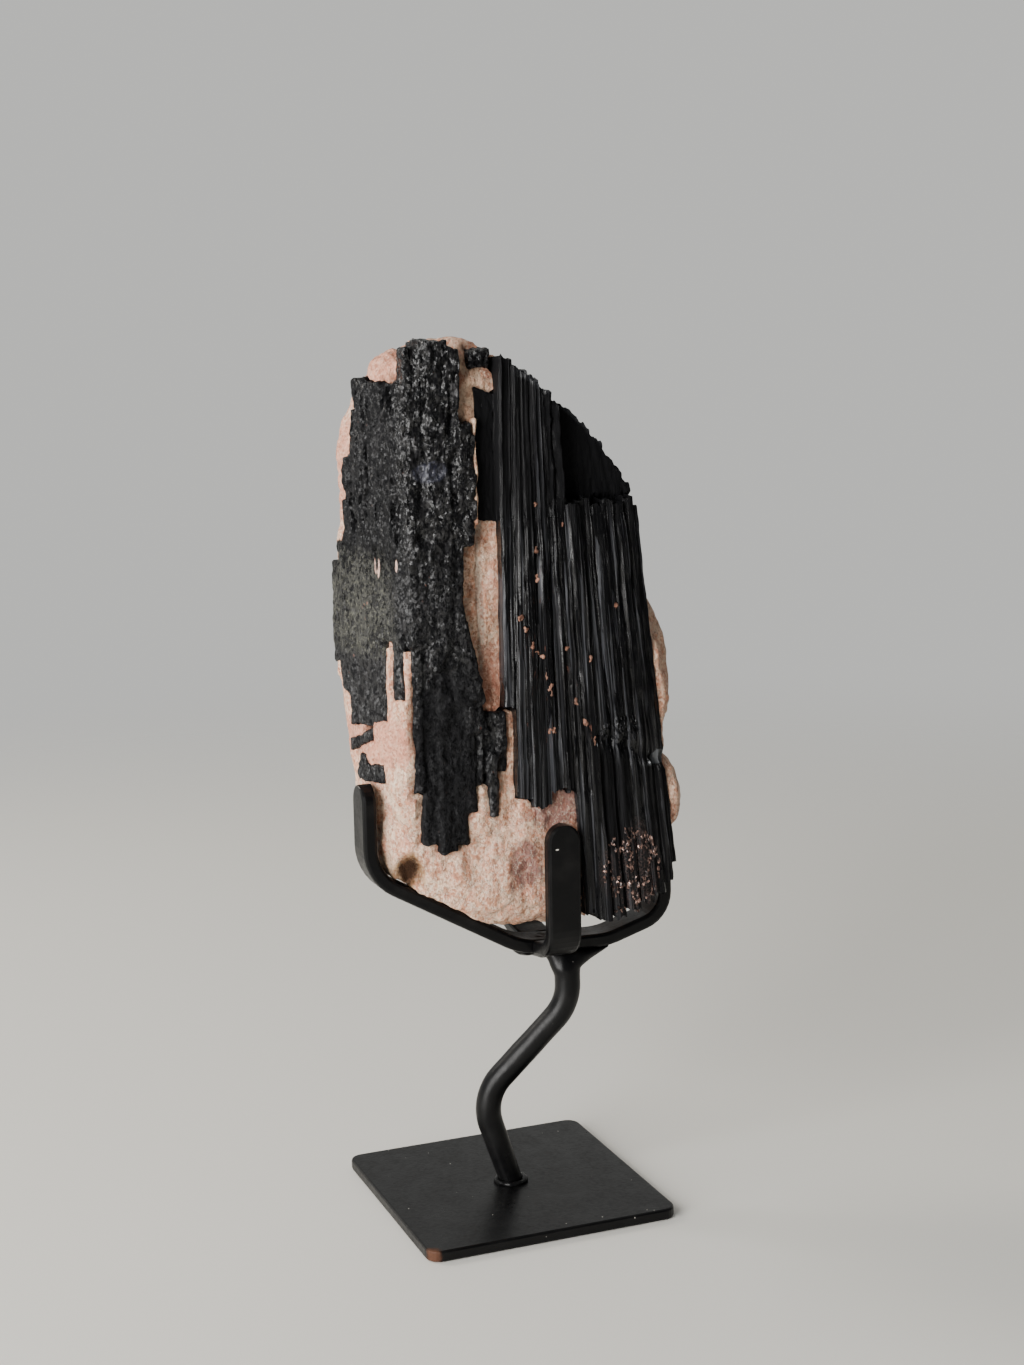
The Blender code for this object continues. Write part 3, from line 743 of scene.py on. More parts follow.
@dataclass(frozen=True)
class FeldsparFinish:
    """Pink feldspar with cream, red and mauve parts, streaked on the left and granular below."""

    name: str = "feldspar_natural"
    slot: Slot = Slot.FELDSPAR
    redder: float = 0.0             # added redness, as in the crumbs among the crystals
    hollow: tuple[float, float, float, float] = (-31.2, 102.4, 2.9, 5.0)    # X, height, half sizes
    peach: Colour = colour(218, 172, 144)
    cream: Colour = colour(229, 197, 167)
    pink: Colour = colour(206, 140, 116)
    orange: Colour = colour(202, 134, 96)
    rust: Colour = colour(150, 92, 68)
    red: Colour = colour(158, 84, 62)
    mauve: Colour = colour(132, 92, 84)
    brown: Colour = colour(96, 66, 44)
    crumb: Colour = colour(136, 88, 70)
    gold: Colour = colour(150, 112, 68)
    deep: Colour = colour(48, 30, 17)
    grey: Colour = colour(150, 140, 128)
    white: Colour = colour(238, 226, 210)

    def material(self) -> bpy.types.Material:
        """The feldspar.

        Returns:
            The material.
        """
        recipe = Recipe(self.name)
        broad = recipe.clouds(recipe.stretched(16.0, 24.0), 3.0)
        blotch = recipe.clouds(recipe.stretched(4.5, 6.0, 7.0), 4.0, 0.6)
        fine = recipe.clouds(recipe.stretched(0.8, 1.0, 2.0), 4.0, 0.7)
        streaks = recipe.clouds(recipe.stretched(1.5, 26.0, 3.0), 3.0, 0.6)
        crack = abs(recipe.clouds(recipe.stretched(3.2, 4.0, 1.0), 3.0, 0.6) - 0.5).step(0.018, 0.002)
        grains = recipe.cells(recipe.frayed(recipe.stretched(1.15, 1.5, 17.0), 1.1), "Color")
        specks = recipe.cells(recipe.frayed(recipe.stretched(0.6, 0.7, 29.0), 1.0), "Color")
        fray = (blotch - 0.5) * 3.2 + (fine - 0.5) * 1.6
        ribbed = recipe.x.step(-20.0, -26.0) * recipe.z.step(152.0, 146.0)
        shade = recipe.layered(
            self.peach,
            (self.cream, broad.step(0.42, 0.66) * 0.7 + ribbed * 0.25),
            (self.pink, blotch.step(0.46, 0.64) * 0.6),
            (self.pink, streaks.step(0.5, 0.64) * (0.3 + ribbed * 0.4)),
            (self.cream, grains.step(0.56, 0.68) * 0.45),
            (self.orange, grains.step(0.42, 0.30) * 0.5),
            (self.grey, (broad * fine).step(0.28, 0.40) * 0.45),
            (self.white, specks.step(0.64, 0.72) * 0.30),
        )
        shade = recipe.layered(
            self.patches(recipe, shade, fray, streaks),
            (self.red, (fine * blotch).step(0.31, 0.40) * (0.5 + self.redder * 0.5)),
            (self.cream, specks.step(0.66, 0.74) * 0.25),
            (self.rust, specks.step(0.34, 0.27) * 0.5),
            (self.white, crack * recipe.z.step(140.0, 124.0) * 0.35),
            (self.brown, (fine - blotch * 0.35).step(0.46, 0.56) * 0.5),
            (self.crumb, self.redder),
            (self.deep, blotch.step(0.44, 0.60) * self.redder * 0.8),
        )
        rough = fine.step(0.3, 0.7, 0.42, 0.72)
        glint = recipe.facets(recipe.stretched(1.3, 1.7, 5.0))
        height = fine * 1.4 + glint * 1.5 + streaks * 0.8 + grains * 0.35 - crack * 0.4
        normal = recipe.relief(height, 0.34)
        away = recipe.reach(*self.hollow) + (blotch - 0.5) * 1.5 + (fine - 0.5)
        recipe.dulled(away.step(1.5, 0.3) * recipe.y.step(0.0, -3.0), self.deep, normal)
        return recipe.done({"Metallic": 0.0, "IOR": 1.53},
                           {"Base Color": shade, "Roughness": rough, "Normal": normal})

    def patches(self, recipe: Recipe, shade: Wire, fray: Wire, streaks: Wire) -> Wire:
        """Colour the parts that stand out on the front.

        Args:
            recipe: The material's nodes.
            shade: The colour so far.
            fray: Noise for ragged edges.
            streaks: Upright streaks.

        Returns:
            The colour with its patches.
        """
        lobe = recipe.spot(-29.5, 237.0, 10.0, 12.0, fray) + recipe.spot(-43.0, 214.0, 6.0, 16.0, fray)
        # The grey in the upright groove is painted shade.
        groove = recipe.spot(-10.2, 178.0, 0.9, 40.0, fray * 0.3)
        mauve = recipe.spot(11.6, 118.6, 8.0, 8.0, fray) + recipe.spot(0.7, 102.0, 5.2, 7.4, fray)
        return recipe.layered(
            shade,
            (self.pink, (lobe * 0.7).least(1.0)),
            (self.pink, recipe.spot(-37.0, 140.0, 5.0, 7.0, fray) * 0.8),
            (self.cream, recipe.spot(-11.5, 226.0, 4.0, 22.0, fray) * 0.6),
            (self.grey, groove * streaks.step(0.3, 0.5) * 0.7),
            (self.red, recipe.spot(-7.2, 150.0, 4.5, 15.0, fray) * 0.6),
            (self.mauve, (mauve * 0.92).least(1.0)),
            (self.red, recipe.spot(2.2, 116.7, 2.0, 1.7, fray) * 0.7),
            (self.cream, recipe.spot(-35.0, 101.0, 4.0, 6.0, fray) * 0.7),
            (self.gold, recipe.spot(-31.2, 102.6, 3.6, 6.2, fray * 0.5) * 0.8),
        )


@dataclass(frozen=True)
class MicaFinish:
    """Small brown plates with a bronze glint."""

    slot: Slot = Slot.TOURMALINE
    dark: Colour = colour(44, 33, 31)
    bright: Colour = colour(150, 118, 106)

    def material(self) -> bpy.types.Material:
        """The glinting plates.

        Returns:
            The material.
        """
        recipe = Recipe("mica_glint")
        draw = recipe.clouds(recipe.stretched(1.2, 1.2), 1.0)
        fine = recipe.clouds(recipe.stretched(0.3, 0.3, 4.0), 2.0)
        shade = recipe.tint(self.dark, self.bright, draw.step(0.42, 0.66))
        return recipe.done({"Metallic": 0.35, "IOR": 1.6},
                           {"Base Color": shade, "Roughness": draw.step(0.3, 0.7, 0.42, 0.2),
                            "Normal": recipe.relief(fine, 0.03)})


Finish = Union[BlackIron, RoughTourmaline, StriatedTourmaline, FeldsparFinish, MicaFinish]


class Workshop:
    """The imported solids, the surfaces to keep clear of, and the common steps of the work."""

    prongs = ("prong_left", "prong_right", "prong_front", "prong_back")
    crystals = ("tourmaline_left", "tourmaline_right", "tourmaline_back",
                "tourmaline_shard", "tourmaline_chip", "tourmaline_top")

    def __init__(self, nodes: dict[str, bpy.types.Object]) -> None:
        """Keep the nodes and measure the surfaces that others must mind.

        Args:
            nodes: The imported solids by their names.
        """
        self.nodes = nodes
        low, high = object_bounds()
        self.low = Vector(low) / MM
        self.high = Vector(high) / MM
        self.iron = self.surface(*self.prongs)
        self.black = self.surface(*self.crystals)

    def copy_of(self, *names: str) -> bmesh.types.BMesh:
        """A merged copy of some solids.

        Args:
            names: Their names.

        Returns:
            The copy, in millimetres.
        """
        bm = bmesh.new()
        for name in names:
            bm.from_mesh(self.nodes[name].data)
        bmesh.ops.remove_doubles(bm, verts=bm.verts, dist=MERGE)
        bmesh.ops.scale(bm, vec=(1 / MM, 1 / MM, 1 / MM), verts=bm.verts)
        return bm

    def surface(self, *names: str) -> BVHTree:
        """The surface of some solids, for measuring distances."""
        return skin(self.copy_of(*names))

    @staticmethod
    def remeshed(bm: bmesh.types.BMesh, voxel: float) -> bmesh.types.BMesh:
        """Turn a closed body into an even skin of small faces.

        Args:
            bm: The body, which is used up.
            voxel: Size of the faces in millimetres.

        Returns:
            The new skin.
        """
        mesh = meshed(bm, "clay")
        obj = placed("clay", mesh)
        modifier = obj.modifiers.new("voxels", "REMESH")
        modifier.mode = "VOXEL"
        modifier.voxel_size = voxel
        result = bpy.data.meshes.new_from_object(obj.evaluated_get(bpy.context.evaluated_depsgraph_get()))
        made = bmesh.new()
        made.from_mesh(result)
        bpy.data.objects.remove(obj)
        bpy.data.meshes.remove(mesh)
        bpy.data.meshes.remove(result)
        return made

    @staticmethod
    def rounded(bm: bmesh.types.BMesh, passes: int) -> None:
        """Round off the edges of an even skin."""
        for _ in range(passes):
            bmesh.ops.smooth_vert(bm, verts=bm.verts, factor=0.5,
                                  use_axis_x=True, use_axis_y=True, use_axis_z=True)

    def room(self, place: Vector, reach: float = 2.4) -> float:
        """How freely a point may move outwards: 0 at the iron and 1 away from it."""
        found = self.iron.find_nearest(place, reach)
        return 1.0 if found[3] is None else smooth(found[3], 0.25, reach)

    @staticmethod
    def warp(place: Vector) -> Vector:
        """The slow bend that straight edges get, the same for all the stone.

        Args:
            place: A point of the surface.

        Returns:
            Its shift.
        """
        wide = noise.noise_vector(Vector((place.x, place.y, place.z * 0.6)) / 6.5)
        narrow = noise.noise_vector(Vector((place.x, place.y, place.z * 0.7)) / 2.1)
        return wide * 0.55 + narrow * 0.28

    def worked(self, bm: bmesh.types.BMesh, relief: Relief) -> None:
        """Move each vertex by a relief, and keep it in the solids' box.

        Args:
            bm: The piece.
            relief: Gives a vertex's shift from its place and normal.
        """
        bm.normal_update()
        shifts = [relief(vert.co, vert.normal) for vert in bm.verts]
        for vert, shift in zip(bm.verts, shifts):
            vert.co += shift
            for axis in (0, 1, 2):
                vert.co[axis] = min(max(vert.co[axis], self.low[axis]), self.high[axis])

    def publish(self, bm: bmesh.types.BMesh, name: str, finish: Finish,
                stands_for: Iterable[str] = (), crease: float = 38.0) -> bpy.types.Object:
        """Make a piece of the model from a millimetre mesh.

        Args:
            bm: The mesh, which is used up.
            name: The piece's name.
            finish: Its finish.
            stands_for: Solids that it replaces.
            crease: Angle in degrees past which an edge is sharp.

        Returns:
            The piece.
        """
        bmesh.ops.scale(bm, vec=(MM, MM, MM), verts=bm.verts)
        mesh = meshed(bm, name)
        mesh.materials.append(finish.material())
        mesh.shade_smooth()
        mesh.set_sharp_from_angle(angle=math.radians(crease))
        obj = placed(name, mesh)
        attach(obj, BODY)
        if stands_for:
            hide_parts(*stands_for)
        triangles = sum(len(face.vertices) - 2 for face in mesh.polygons)
        LOG.info("%s: %d triangles", name, triangles)
        return obj


@dataclass
class IronStand:
    """The plate, the bent rod and the four bars, with their welds."""

    shop: Workshop
    finish: BlackIron = BlackIron()
    parts: tuple[str, ...] = ("base_plate", *Workshop.prongs)
    rod: float = 3.7                # the rod's radius
    rod_voxel: float = 0.42
    rod_passes: int = 10            # of smoothing, which round its flats off
    rod_skin: float = 0.12          # makes up for what the smoothing takes away
    bead: float = 0.9               # radius of the bead of weld at its foot
    bead_shape: tuple[float, float, float] = (1.04, 1.0, 0.9)   # the bead's stretch along each axis
    bead_lift: float = 0.2
    hub_height: float = 75.4        # where the four bars meet
    hub_behind: float = 5.0         # from the front bar's back to the hub's centre
    hub_voxel: float = 0.4
    hub_passes: int = 6
    # The hub's lumps of weld: each one's shift from the centre and its half sizes
    lumps: tuple[tuple[tuple[float, ...], tuple[float, ...]], ...] = (
        ((0, 0, -0.4), (8.2, 5.6, 3.0)), ((-5.2, 0.2, -0.6), (4.0, 4.7, 2.5)),
        ((5.6, 0.2, -0.8), (4.4, 4.7, 2.5)), ((0.4, -3.6, -0.5), (4.8, 3.0, 2.4)),
        ((0.2, 3.9, -0.4), (4.8, 3.0, 2.4)), ((2.6, 0.6, -2.6), (6.4, 4.6, 2.2)),
    )

    def build(self) -> None:
        """Paint the solids, round the rod and add the welds."""
        paint = self.finish.material()
        for name in self.parts:
            mesh = self.shop.nodes[name].data
            mesh.materials.clear()
            mesh.materials.append(paint)
            LOG.info("%s: painted", name)
        self.round_rod()
        self.base_weld()
        self.hub_weld()

    def round_rod(self) -> None:
        """The rod and its flare, drawn round where the solid has flats."""
        bm = self.shop.remeshed(self.shop.copy_of("stem"), self.rod_voxel)
        self.shop.rounded(bm, self.rod_passes)
        self.shop.worked(
            bm, lambda place, normal: normal * (self.rod_skin + grain(place, 5.0, 9.0, 4.0) * 0.08))
        self.shop.publish(bm, "rod", self.finish, ["stem"], 60.0)

    def base_weld(self) -> None:
        """A bead of weld round the foot of the rod."""
        foot = self.foot_ring()
        centre = sum(foot, Vector()) / len(foot)
        bm = bmesh.new()
        bmesh.ops.create_circle(bm, cap_ends=False, segments=10, radius=self.bead)
        bmesh.ops.rotate(bm, cent=(0, 0, 0), matrix=Matrix.Rotation(math.pi / 2, 3, "X"), verts=bm.verts)
        bmesh.ops.translate(bm, vec=(self.rod + self.bead * 0.35, 0, 0), verts=bm.verts)
        bmesh.ops.spin(bm, geom=bm.verts[:] + bm.edges[:], cent=(0, 0, 0), axis=(0, 0, 1),
                       angle=math.tau, steps=64, use_merge=True)
        bmesh.ops.remove_doubles(bm, verts=bm.verts, dist=0.001)
        shaped(bm, bm.verts, self.bead_shape, centre + Vector((0, 0, self.bead_lift)))
        bmesh.ops.recalc_face_normals(bm, faces=bm.faces)
        self.shop.worked(bm, lambda place, normal: normal * grain(place, 1.8, 1.8, 3.0) * 0.35)
        self.shop.publish(bm, "weld_base", self.finish)

    def foot_ring(self) -> list[Vector]:
        """The lowest points of the rod.

        Returns:
            The points, in millimetres.
        """
        points = [vert.co / MM for vert in self.shop.nodes["stem"].data.vertices]
        floor = min(point.z for point in points)
        return [point for point in points if point.z < floor + 0.05]

    def hub_weld(self) -> None:
        """Lumps of weld that join the four bars over the rod's head."""
        low, high = (Vector(corner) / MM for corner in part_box("prong_front"))
        centre = Vector(((low.x + high.x) / 2, high.y + self.hub_behind, self.hub_height))
        bm = bmesh.new()
        for shift, size in self.lumps:
            made = bmesh.ops.create_icosphere(bm, subdivisions=3, radius=1.0)
            shaped(bm, made["verts"], size, centre + Vector(shift))
        bm = self.shop.remeshed(bm, self.hub_voxel)
        self.shop.rounded(bm, self.hub_passes)
        self.shop.worked(bm, lambda place, normal: normal * grain(place, 2.2, 2.2, 8.0) * 0.3)
        self.shop.publish(bm, "weld_hub", self.finish)


@dataclass
class PittedBundle:
    """The left bundle and the small crystals: broken faces, pits and blocky steps."""

    shop: Workshop
    finish: RoughTourmaline = RoughTourmaline()
    voxel: float = 0.46
    block_across: float = 2.3
    block_along: float = 6.5
    block_depth: float = 0.6
    groove: float = 0.3
    pit_depth: float = 1.5
    slit_depth: float = 4.5         # of the upright slits on the upper left

    def relief(self, place: Vector, normal: Vector) -> Vector:
        """Shift of one point of the surface.

        Args:
            place: The point.
            normal: Its normal.

        Returns:
            The shift.
        """
        calm = smooth(place.z, 196.0, 182.0)
        across = self.block_across
        cell = Vector((place.x / across, place.y / across, place.z / self.block_along))
        near, centres = noise.voronoi(cell)
        draw = noise.noise_vector(centres[0] * 3.7)
        depth = -abs(draw.x) * self.block_depth + (cell - centres[0]).dot(draw) * 0.5
        depth -= self.groove * (1 - smooth(near[1] - near[0], 0.0, 0.16))
        depth -= max(grain(place, 3.2, 6.0, 5.0) - 0.18, 0.0) * self.pit_depth
        flank = smooth(place.x, -31.0, -35.0) * smooth(place.z, 182.0, 190.0)
        depth -= max(grain(place, 1.5, 15.0, 21.0) - 0.2, 0.0) * self.slit_depth * flank
        depth *= 1.0 - 0.55 * calm
        depth += grain(place, 1.0, 1.3, 9.0) * 0.22
        room = self.shop.room(place)
        outward = depth + 0.25
        shift = normal * (outward if outward < 0 else outward * room)
        return shift + self.shop.warp(place) * room

    def build(self) -> None:
        """The left bundle and the three small crystals."""
        for name in ("tourmaline_left", "tourmaline_shard", "tourmaline_chip", "tourmaline_top"):
            bm = self.shop.remeshed(self.shop.copy_of(name), self.voxel)
            self.shop.worked(bm, self.relief)
            self.shop.publish(bm, name.replace("tourmaline", "crystal"), self.finish, [name], 60.0)


@dataclass
class StriatedBundle:
    """The right bundle and the one at the back: crisp ribs with fine grooves along them."""

    shop: Workshop
    node: str
    name: str
    fan: Fan
    column: float = 0.5             # spacing of the cuts along the crystals and across them
    row: float = 1.6
    block_across: float = 2.1       # a crystal that steps back as one has this width and height
    block_along: float = 17.0
    block_depth: float = 0.22
    rib_depth: float = 0.42
    fine_depth: float = 0.34
    fracture_depth: float = 0.9
    recess_start: float = 10.6      # place where the recess begins
    recess_height: float = 204.4
    recess_face: float = -13.3      # the flat face of the recess, in Y
    hollow_face: float = -14.5      # the flat face of the dark column beside the strip

    @property
    def seen(self) -> bool:
        """Whether this is the bundle on the front, with the details that the viewer sees."""
        return self.node == "tourmaline_right"

    def combed(self, bm: bmesh.types.BMesh) -> None:
        """Cut the faces along and across the crystals, finely enough to carry the grooves.

        Args:
            bm: The bundle.
        """
        low = Vector([min(vert.co[axis] for vert in bm.verts) for axis in (0, 1, 2)])
        high = Vector([max(vert.co[axis] for vert in bm.verts) for axis in (0, 1, 2)])
        planes = []
        for index in range(1, int((high.z - low.z) / self.row)):
            planes.append(((0, 0, low.z + index * self.row), (0, 0, 1)))
        for index in range(1, int((high.x + 6.0 - low.x) / self.column)):
            across = low.x + index * self.column
            planes.append(((across, 0, self.fan.middle), (1, 0, -self.fan.lean(across))))
        for point, normal in planes:
            bmesh.ops.bisect_plane(bm, geom=bm.verts[:] + bm.edges[:] + bm.faces[:], dist=0.001,
                                   plane_co=point, plane_no=normal)

    def relief(self, place: Vector, normal: Vector) -> Vector:
        """Shift of one point of the surface.

        Args:
            place: The point.
            normal: Its normal.

        Returns:
            The shift.
        """
        across = self.fan.across(place)
        rib = abs(noise.noise(Vector((across / 1.7, place.y / 6.0, place.z / 80.0))))
        fine = abs(noise.noise(Vector((across / 0.75, place.y / 4.0, place.z / 50.0 + 9.0))))
        block = across / self.block_across
        start = noise.cell(Vector((block, 5, 5)))
        broken = noise.cell(Vector((block, 0.0, place.z / self.block_along + start)))
        recess = 0.0
        if self.seen:
            recess = smooth(across, self.recess_start, self.recess_start + 0.8)
            recess *= smooth(place.z, self.recess_height, self.recess_height + 1.0)
        depth = (rib * 1.5 - 0.6) * self.rib_depth + (fine - 0.35) * self.fine_depth
        depth -= broken * self.block_depth
        rough = grain(place, 1.6, 1.9, 2.0) * 0.55 + grain(place, 0.8, 0.8, 6.0) * 0.3
        depth = depth * (1 - recess) + rough * recess
        depth -= self.fracture_depth * self.fracture(place)
        room = self.shop.room(place)
        face = self.flat_face(place, recess)
        shift = normal * (depth if depth < 0 else depth * room)
        if face is not None:
            shift = Vector((0, face - place.y + rough * 0.6, 0))
        bend = self.shop.warp(place) * 0.55
        bend.z += grain(place, 1.1, 9.0, 12.0) * 0.9
        return shift + bend * room

    def flat_face(self, place: Vector, recess: float) -> Optional[float]:
        """Where a front face lies in one of the two flat, dull places, or None elsewhere.

        Args:
            place: A point of the surface.
            recess: How far it belongs to the recess.

        Returns:
            The face's place in Y.
        """
        if not self.seen or place.y > -9.0:
            return None
        if recess > 0.5 and place.y > -15.2:
            return self.recess_face + 0.03 * (place.x - 20.0)
        if place.x < -5.4 and place.y > -15.8 and place.z > 196.0:
            return self.hollow_face
        return None

    def fracture(self, place: Vector) -> float:
        """The broken line across the right ribs.

        Args:
            place: A point of the surface.

        Returns:
            1 on the line and 0 away from it.
        """
        if not self.seen or not 22.0 < place.x < 46.0:
            return 0.0
        line = 137.5 - (place.x - 24.0) * 0.45 + grain(place, 3.0, 3.0, 4.0) * 2.0
        return 1 - smooth(abs(place.z - line), 0.6, 2.6)

    def build(self, finish: StriatedTourmaline) -> bpy.types.Object:
        """The ribbed bundle.

        Args:
            finish: Its finish.

        Returns:
            The piece.
        """
        bm = self.shop.copy_of(self.node)
        self.combed(bm)
        self.shop.worked(bm, self.relief)
        return self.shop.publish(bm, self.name, finish, [self.node], 17.0)


@dataclass
class FeldsparMatrix:
    """The pink stone that the crystals grew on."""

    shop: Workshop
    finish: FeldsparFinish = FeldsparFinish()
    voxel: float = 0.76
    contact: float = 1.9            # within this distance of a crystal the stone closes up to it
    step_height: float = 0.9
    groove_depth: float = 0.9       # of the upright groove beside the pale strip
    hollow: tuple[float, float, float, float] = (-31.4, 102.6, 3.6, 6.0)    # X, height, half sizes
    hollow_depth: float = 2.4
    # The thin wall's left and right side, front and back, bottom and top
    wall: tuple[float, float, float, float, float, float] = (-12.2, -11.3, -16.6, -11.6, 199.0, 227.0)
    wall_voxel: float = 0.35

    def relief(self, place: Vector, normal: Vector) -> Vector:
        """Shift of one point of the surface.

        Args:
            place: The point.
            normal: Its normal.

        Returns:
            The shift.
        """
        found = self.shop.black.find_nearest(place, self.contact)
        room = self.shop.room(place)
        calm = 1.0
        if found[3] is not None:
            gap = found[0] - place
            near = smooth(found[3], self.contact, 1.2)
            if gap.dot(normal) > 0.35 * found[3]:
                return gap * (1.0 + 0.15 / max(found[3], 0.15)) * near + self.shop.warp(place) * room
            calm = 1.0 - 0.7 * near
        terrace = grain(place, 9.0, 13.0, 3.0) * 4.0
        share = terrace - math.floor(terrace)
        depth = (math.floor(terrace) + smooth(share, 0.35, 0.65)) * self.step_height * 0.45
        depth += grain(place, 3.4, 5.0, 7.0) * 0.32 + grain(place, 1.5, 1.9, 1.0) * 0.2
        ribbed = smooth(place.x, -20.0, -26.0) * smooth(place.z, 154.0, 148.0)
        depth += abs(grain(place, 2.3, 40.0, 11.0)) * 1.1 * ribbed
        groove = 1 - smooth(abs(place.x + 10.2 + grain(place, 40.0, 20.0) * 1.5), 0.2, 1.3)
        if place.y < 0 and 142.0 < place.z < 236.0:
            depth -= self.groove_depth * groove
        x, z, wide, high = self.hollow
        away = ((place.x - x) / wide) ** 2 + ((place.z - z) / high) ** 2
        depth -= self.hollow_depth * (1 - smooth(away, 0.1, 1.2)) if place.y < 0 else 0.0
        depth *= calm
        return normal * (depth if depth < 0 else depth * room) + self.shop.warp(place) * room

    def build(self) -> None:
        """The stone, closed up to its crystals, and the thin wall."""
        bm = self.shop.remeshed(self.shop.copy_of("feldspar_matrix"), self.voxel)
        self.shop.worked(bm, self.relief)
        self.thin_wall()
        self.shop.publish(bm, "feldspar_rock", self.finish, ["feldspar_matrix"], 48.0)

    def thin_wall(self) -> None:
        """The thin wall of feldspar that shows between the left bundle and the dark column."""
        left, right, front, back, bottom, top = self.wall
        bm = bmesh.new()
        bmesh.ops.create_cube(bm, size=1.0)
        shaped(bm, bm.verts, (right - left, back - front, top - bottom),
               ((left + right) / 2, (front + back) / 2, (bottom + top) / 2))
        bm = self.shop.remeshed(bm, self.wall_voxel)
        self.shop.worked(bm, lambda place, normal: (normal * grain(place, 1.2, 4.0, 2.0) * 0.5
                                                    + self.shop.warp(place)))
        self.shop.publish(bm, "feldspar_thin_wall", self.finish, crease=60.0)


@dataclass
class Crumbs:
    """Bits of feldspar among the right crystals."""

    shop: Workshop
    ground: BVHTree
    finish: FeldsparFinish = FeldsparFinish(name="feldspar_crumbs", redder=0.8)
    # Share of the half width, half depth in millimetres, share of the half height
    plump: tuple[float, float, float] = (0.72, 0.7, 0.8)
    sunk: float = 0.32              # a crumb's centre lies this far behind the face
    # Place on the front, half width, half height, in millimetres
    places: tuple[tuple[float, float, float, float], ...] = (
        (5.0, 190.9, 1.1, 1.2), (5.4, 183.2, 0.9, 1.0), (-0.1, 172.5, 1.3, 1.0), (1.6, 169.3, 1.1, 0.9),
        (29.1, 174.0, 0.7, 1.5), (4.9, 203.5, 0.5, 0.8), (8.9, 140.5, 1.2, 1.6), (8.5, 152.1, 0.7, 2.6),
        (7.6, 155.6, 0.6, 1.6), (3.4, 165.2, 0.8, 1.1), (4.9, 162.8, 0.9, 0.9), (6.4, 161.3, 0.8, 0.9),
        (13.8, 163.2, 0.9, 1.2), (16.2, 148.0, 0.8, 1.6), (18.9, 142.0, 0.8, 1.7), (21.4, 136.6, 0.7, 1.5),
        (-4.6, 133.6, 0.8, 2.1), (-2.4, 135.0, 0.6, 1.6), (12.8, 197.4, 0.4, 0.9), (20.4, 160.0, 0.5, 1.6),
    )

    def build(self) -> None:
        """Lay the crumbs on the crystals' faces."""
        bm = bmesh.new()
        for x, z, wide, high in self.places:
            point = front_point(self.ground, x, z)
            if point is None:
                continue
            made = bmesh.ops.create_icosphere(bm, subdivisions=3, radius=1.0)
            size = (wide * self.plump[0], self.plump[1], high * self.plump[2])
            shaped(bm, made["verts"], size, point + Vector((0, self.sunk, 0)))
        self.shop.worked(bm, lambda place, normal: normal * (grain(place, 0.8, 0.9, 4.0) * 0.9))
        self.shop.publish(bm, "feldspar_crumbs", self.finish, crease=50.0)


@dataclass
class Glints:
    """Small loose-looking plates that catch the light in one patch."""

    shop: Workshop
    ground: BVHTree
    name: str
    finish: Finish
    centre: tuple[float, float]
    half: tuple[float, float]       # half the patch's width and height
    count: int
    size: tuple[float, float]       # least and largest radius of a plate
    seed: int                       # of the plates' places and turns
    bare: float                     # below this noise the patch stays bare
    sunk: float = 0.1               # a plate's centre lies this far behind the face

    def build(self) -> None:
        """Scatter the plates over the patch."""
        rng = random.Random(self.seed)
        bm = bmesh.new()
        for _ in range(self.count):
            turn, reach = rng.uniform(0, math.tau), math.sqrt(rng.random())
            x = self.centre[0] + math.cos(turn) * reach * self.half[0]
            z = self.centre[1] + math.sin(turn) * reach * self.half[1]
            point = front_point(self.ground, x, z)
            if point is None or grain(point, 2.6, 3.4, 6.0) < self.bare:
                continue
            size = rng.uniform(*self.size)
            made = bmesh.ops.create_cone(bm, cap_ends=True, segments=rng.choice((5, 6, 7)),
                                         radius1=size, radius2=size * 0.8, depth=size * 0.5)
            nod, lean, spin = rng.uniform(0.4, 1.5), rng.uniform(-0.9, 0.9), rng.uniform(0, 1)
            tilt = Matrix.Rotation(nod, 3, "X") @ Matrix.Rotation(lean, 3, "Y")
            bmesh.ops.rotate(bm, cent=(0, 0, 0), matrix=Matrix.Rotation(spin, 3, "Z") @ tilt,
                             verts=made["verts"])
            shaped(bm, made["verts"], (0.9, 0.9, rng.uniform(1.0, 1.7)), point + Vector((0, self.sunk, 0)))
        self.shop.publish(bm, self.name, self.finish, crease=20.0)


@dataclass(frozen=True)
class Lamp:
    """A soft rectangular light that faces the stone."""

    name: str
    where: tuple[float, float, float]   # as the viewer sees it: right, away, up
    size: tuple[float, float]           # width and height
    power: float                        # in watts
    tone: tuple[float, float, float]


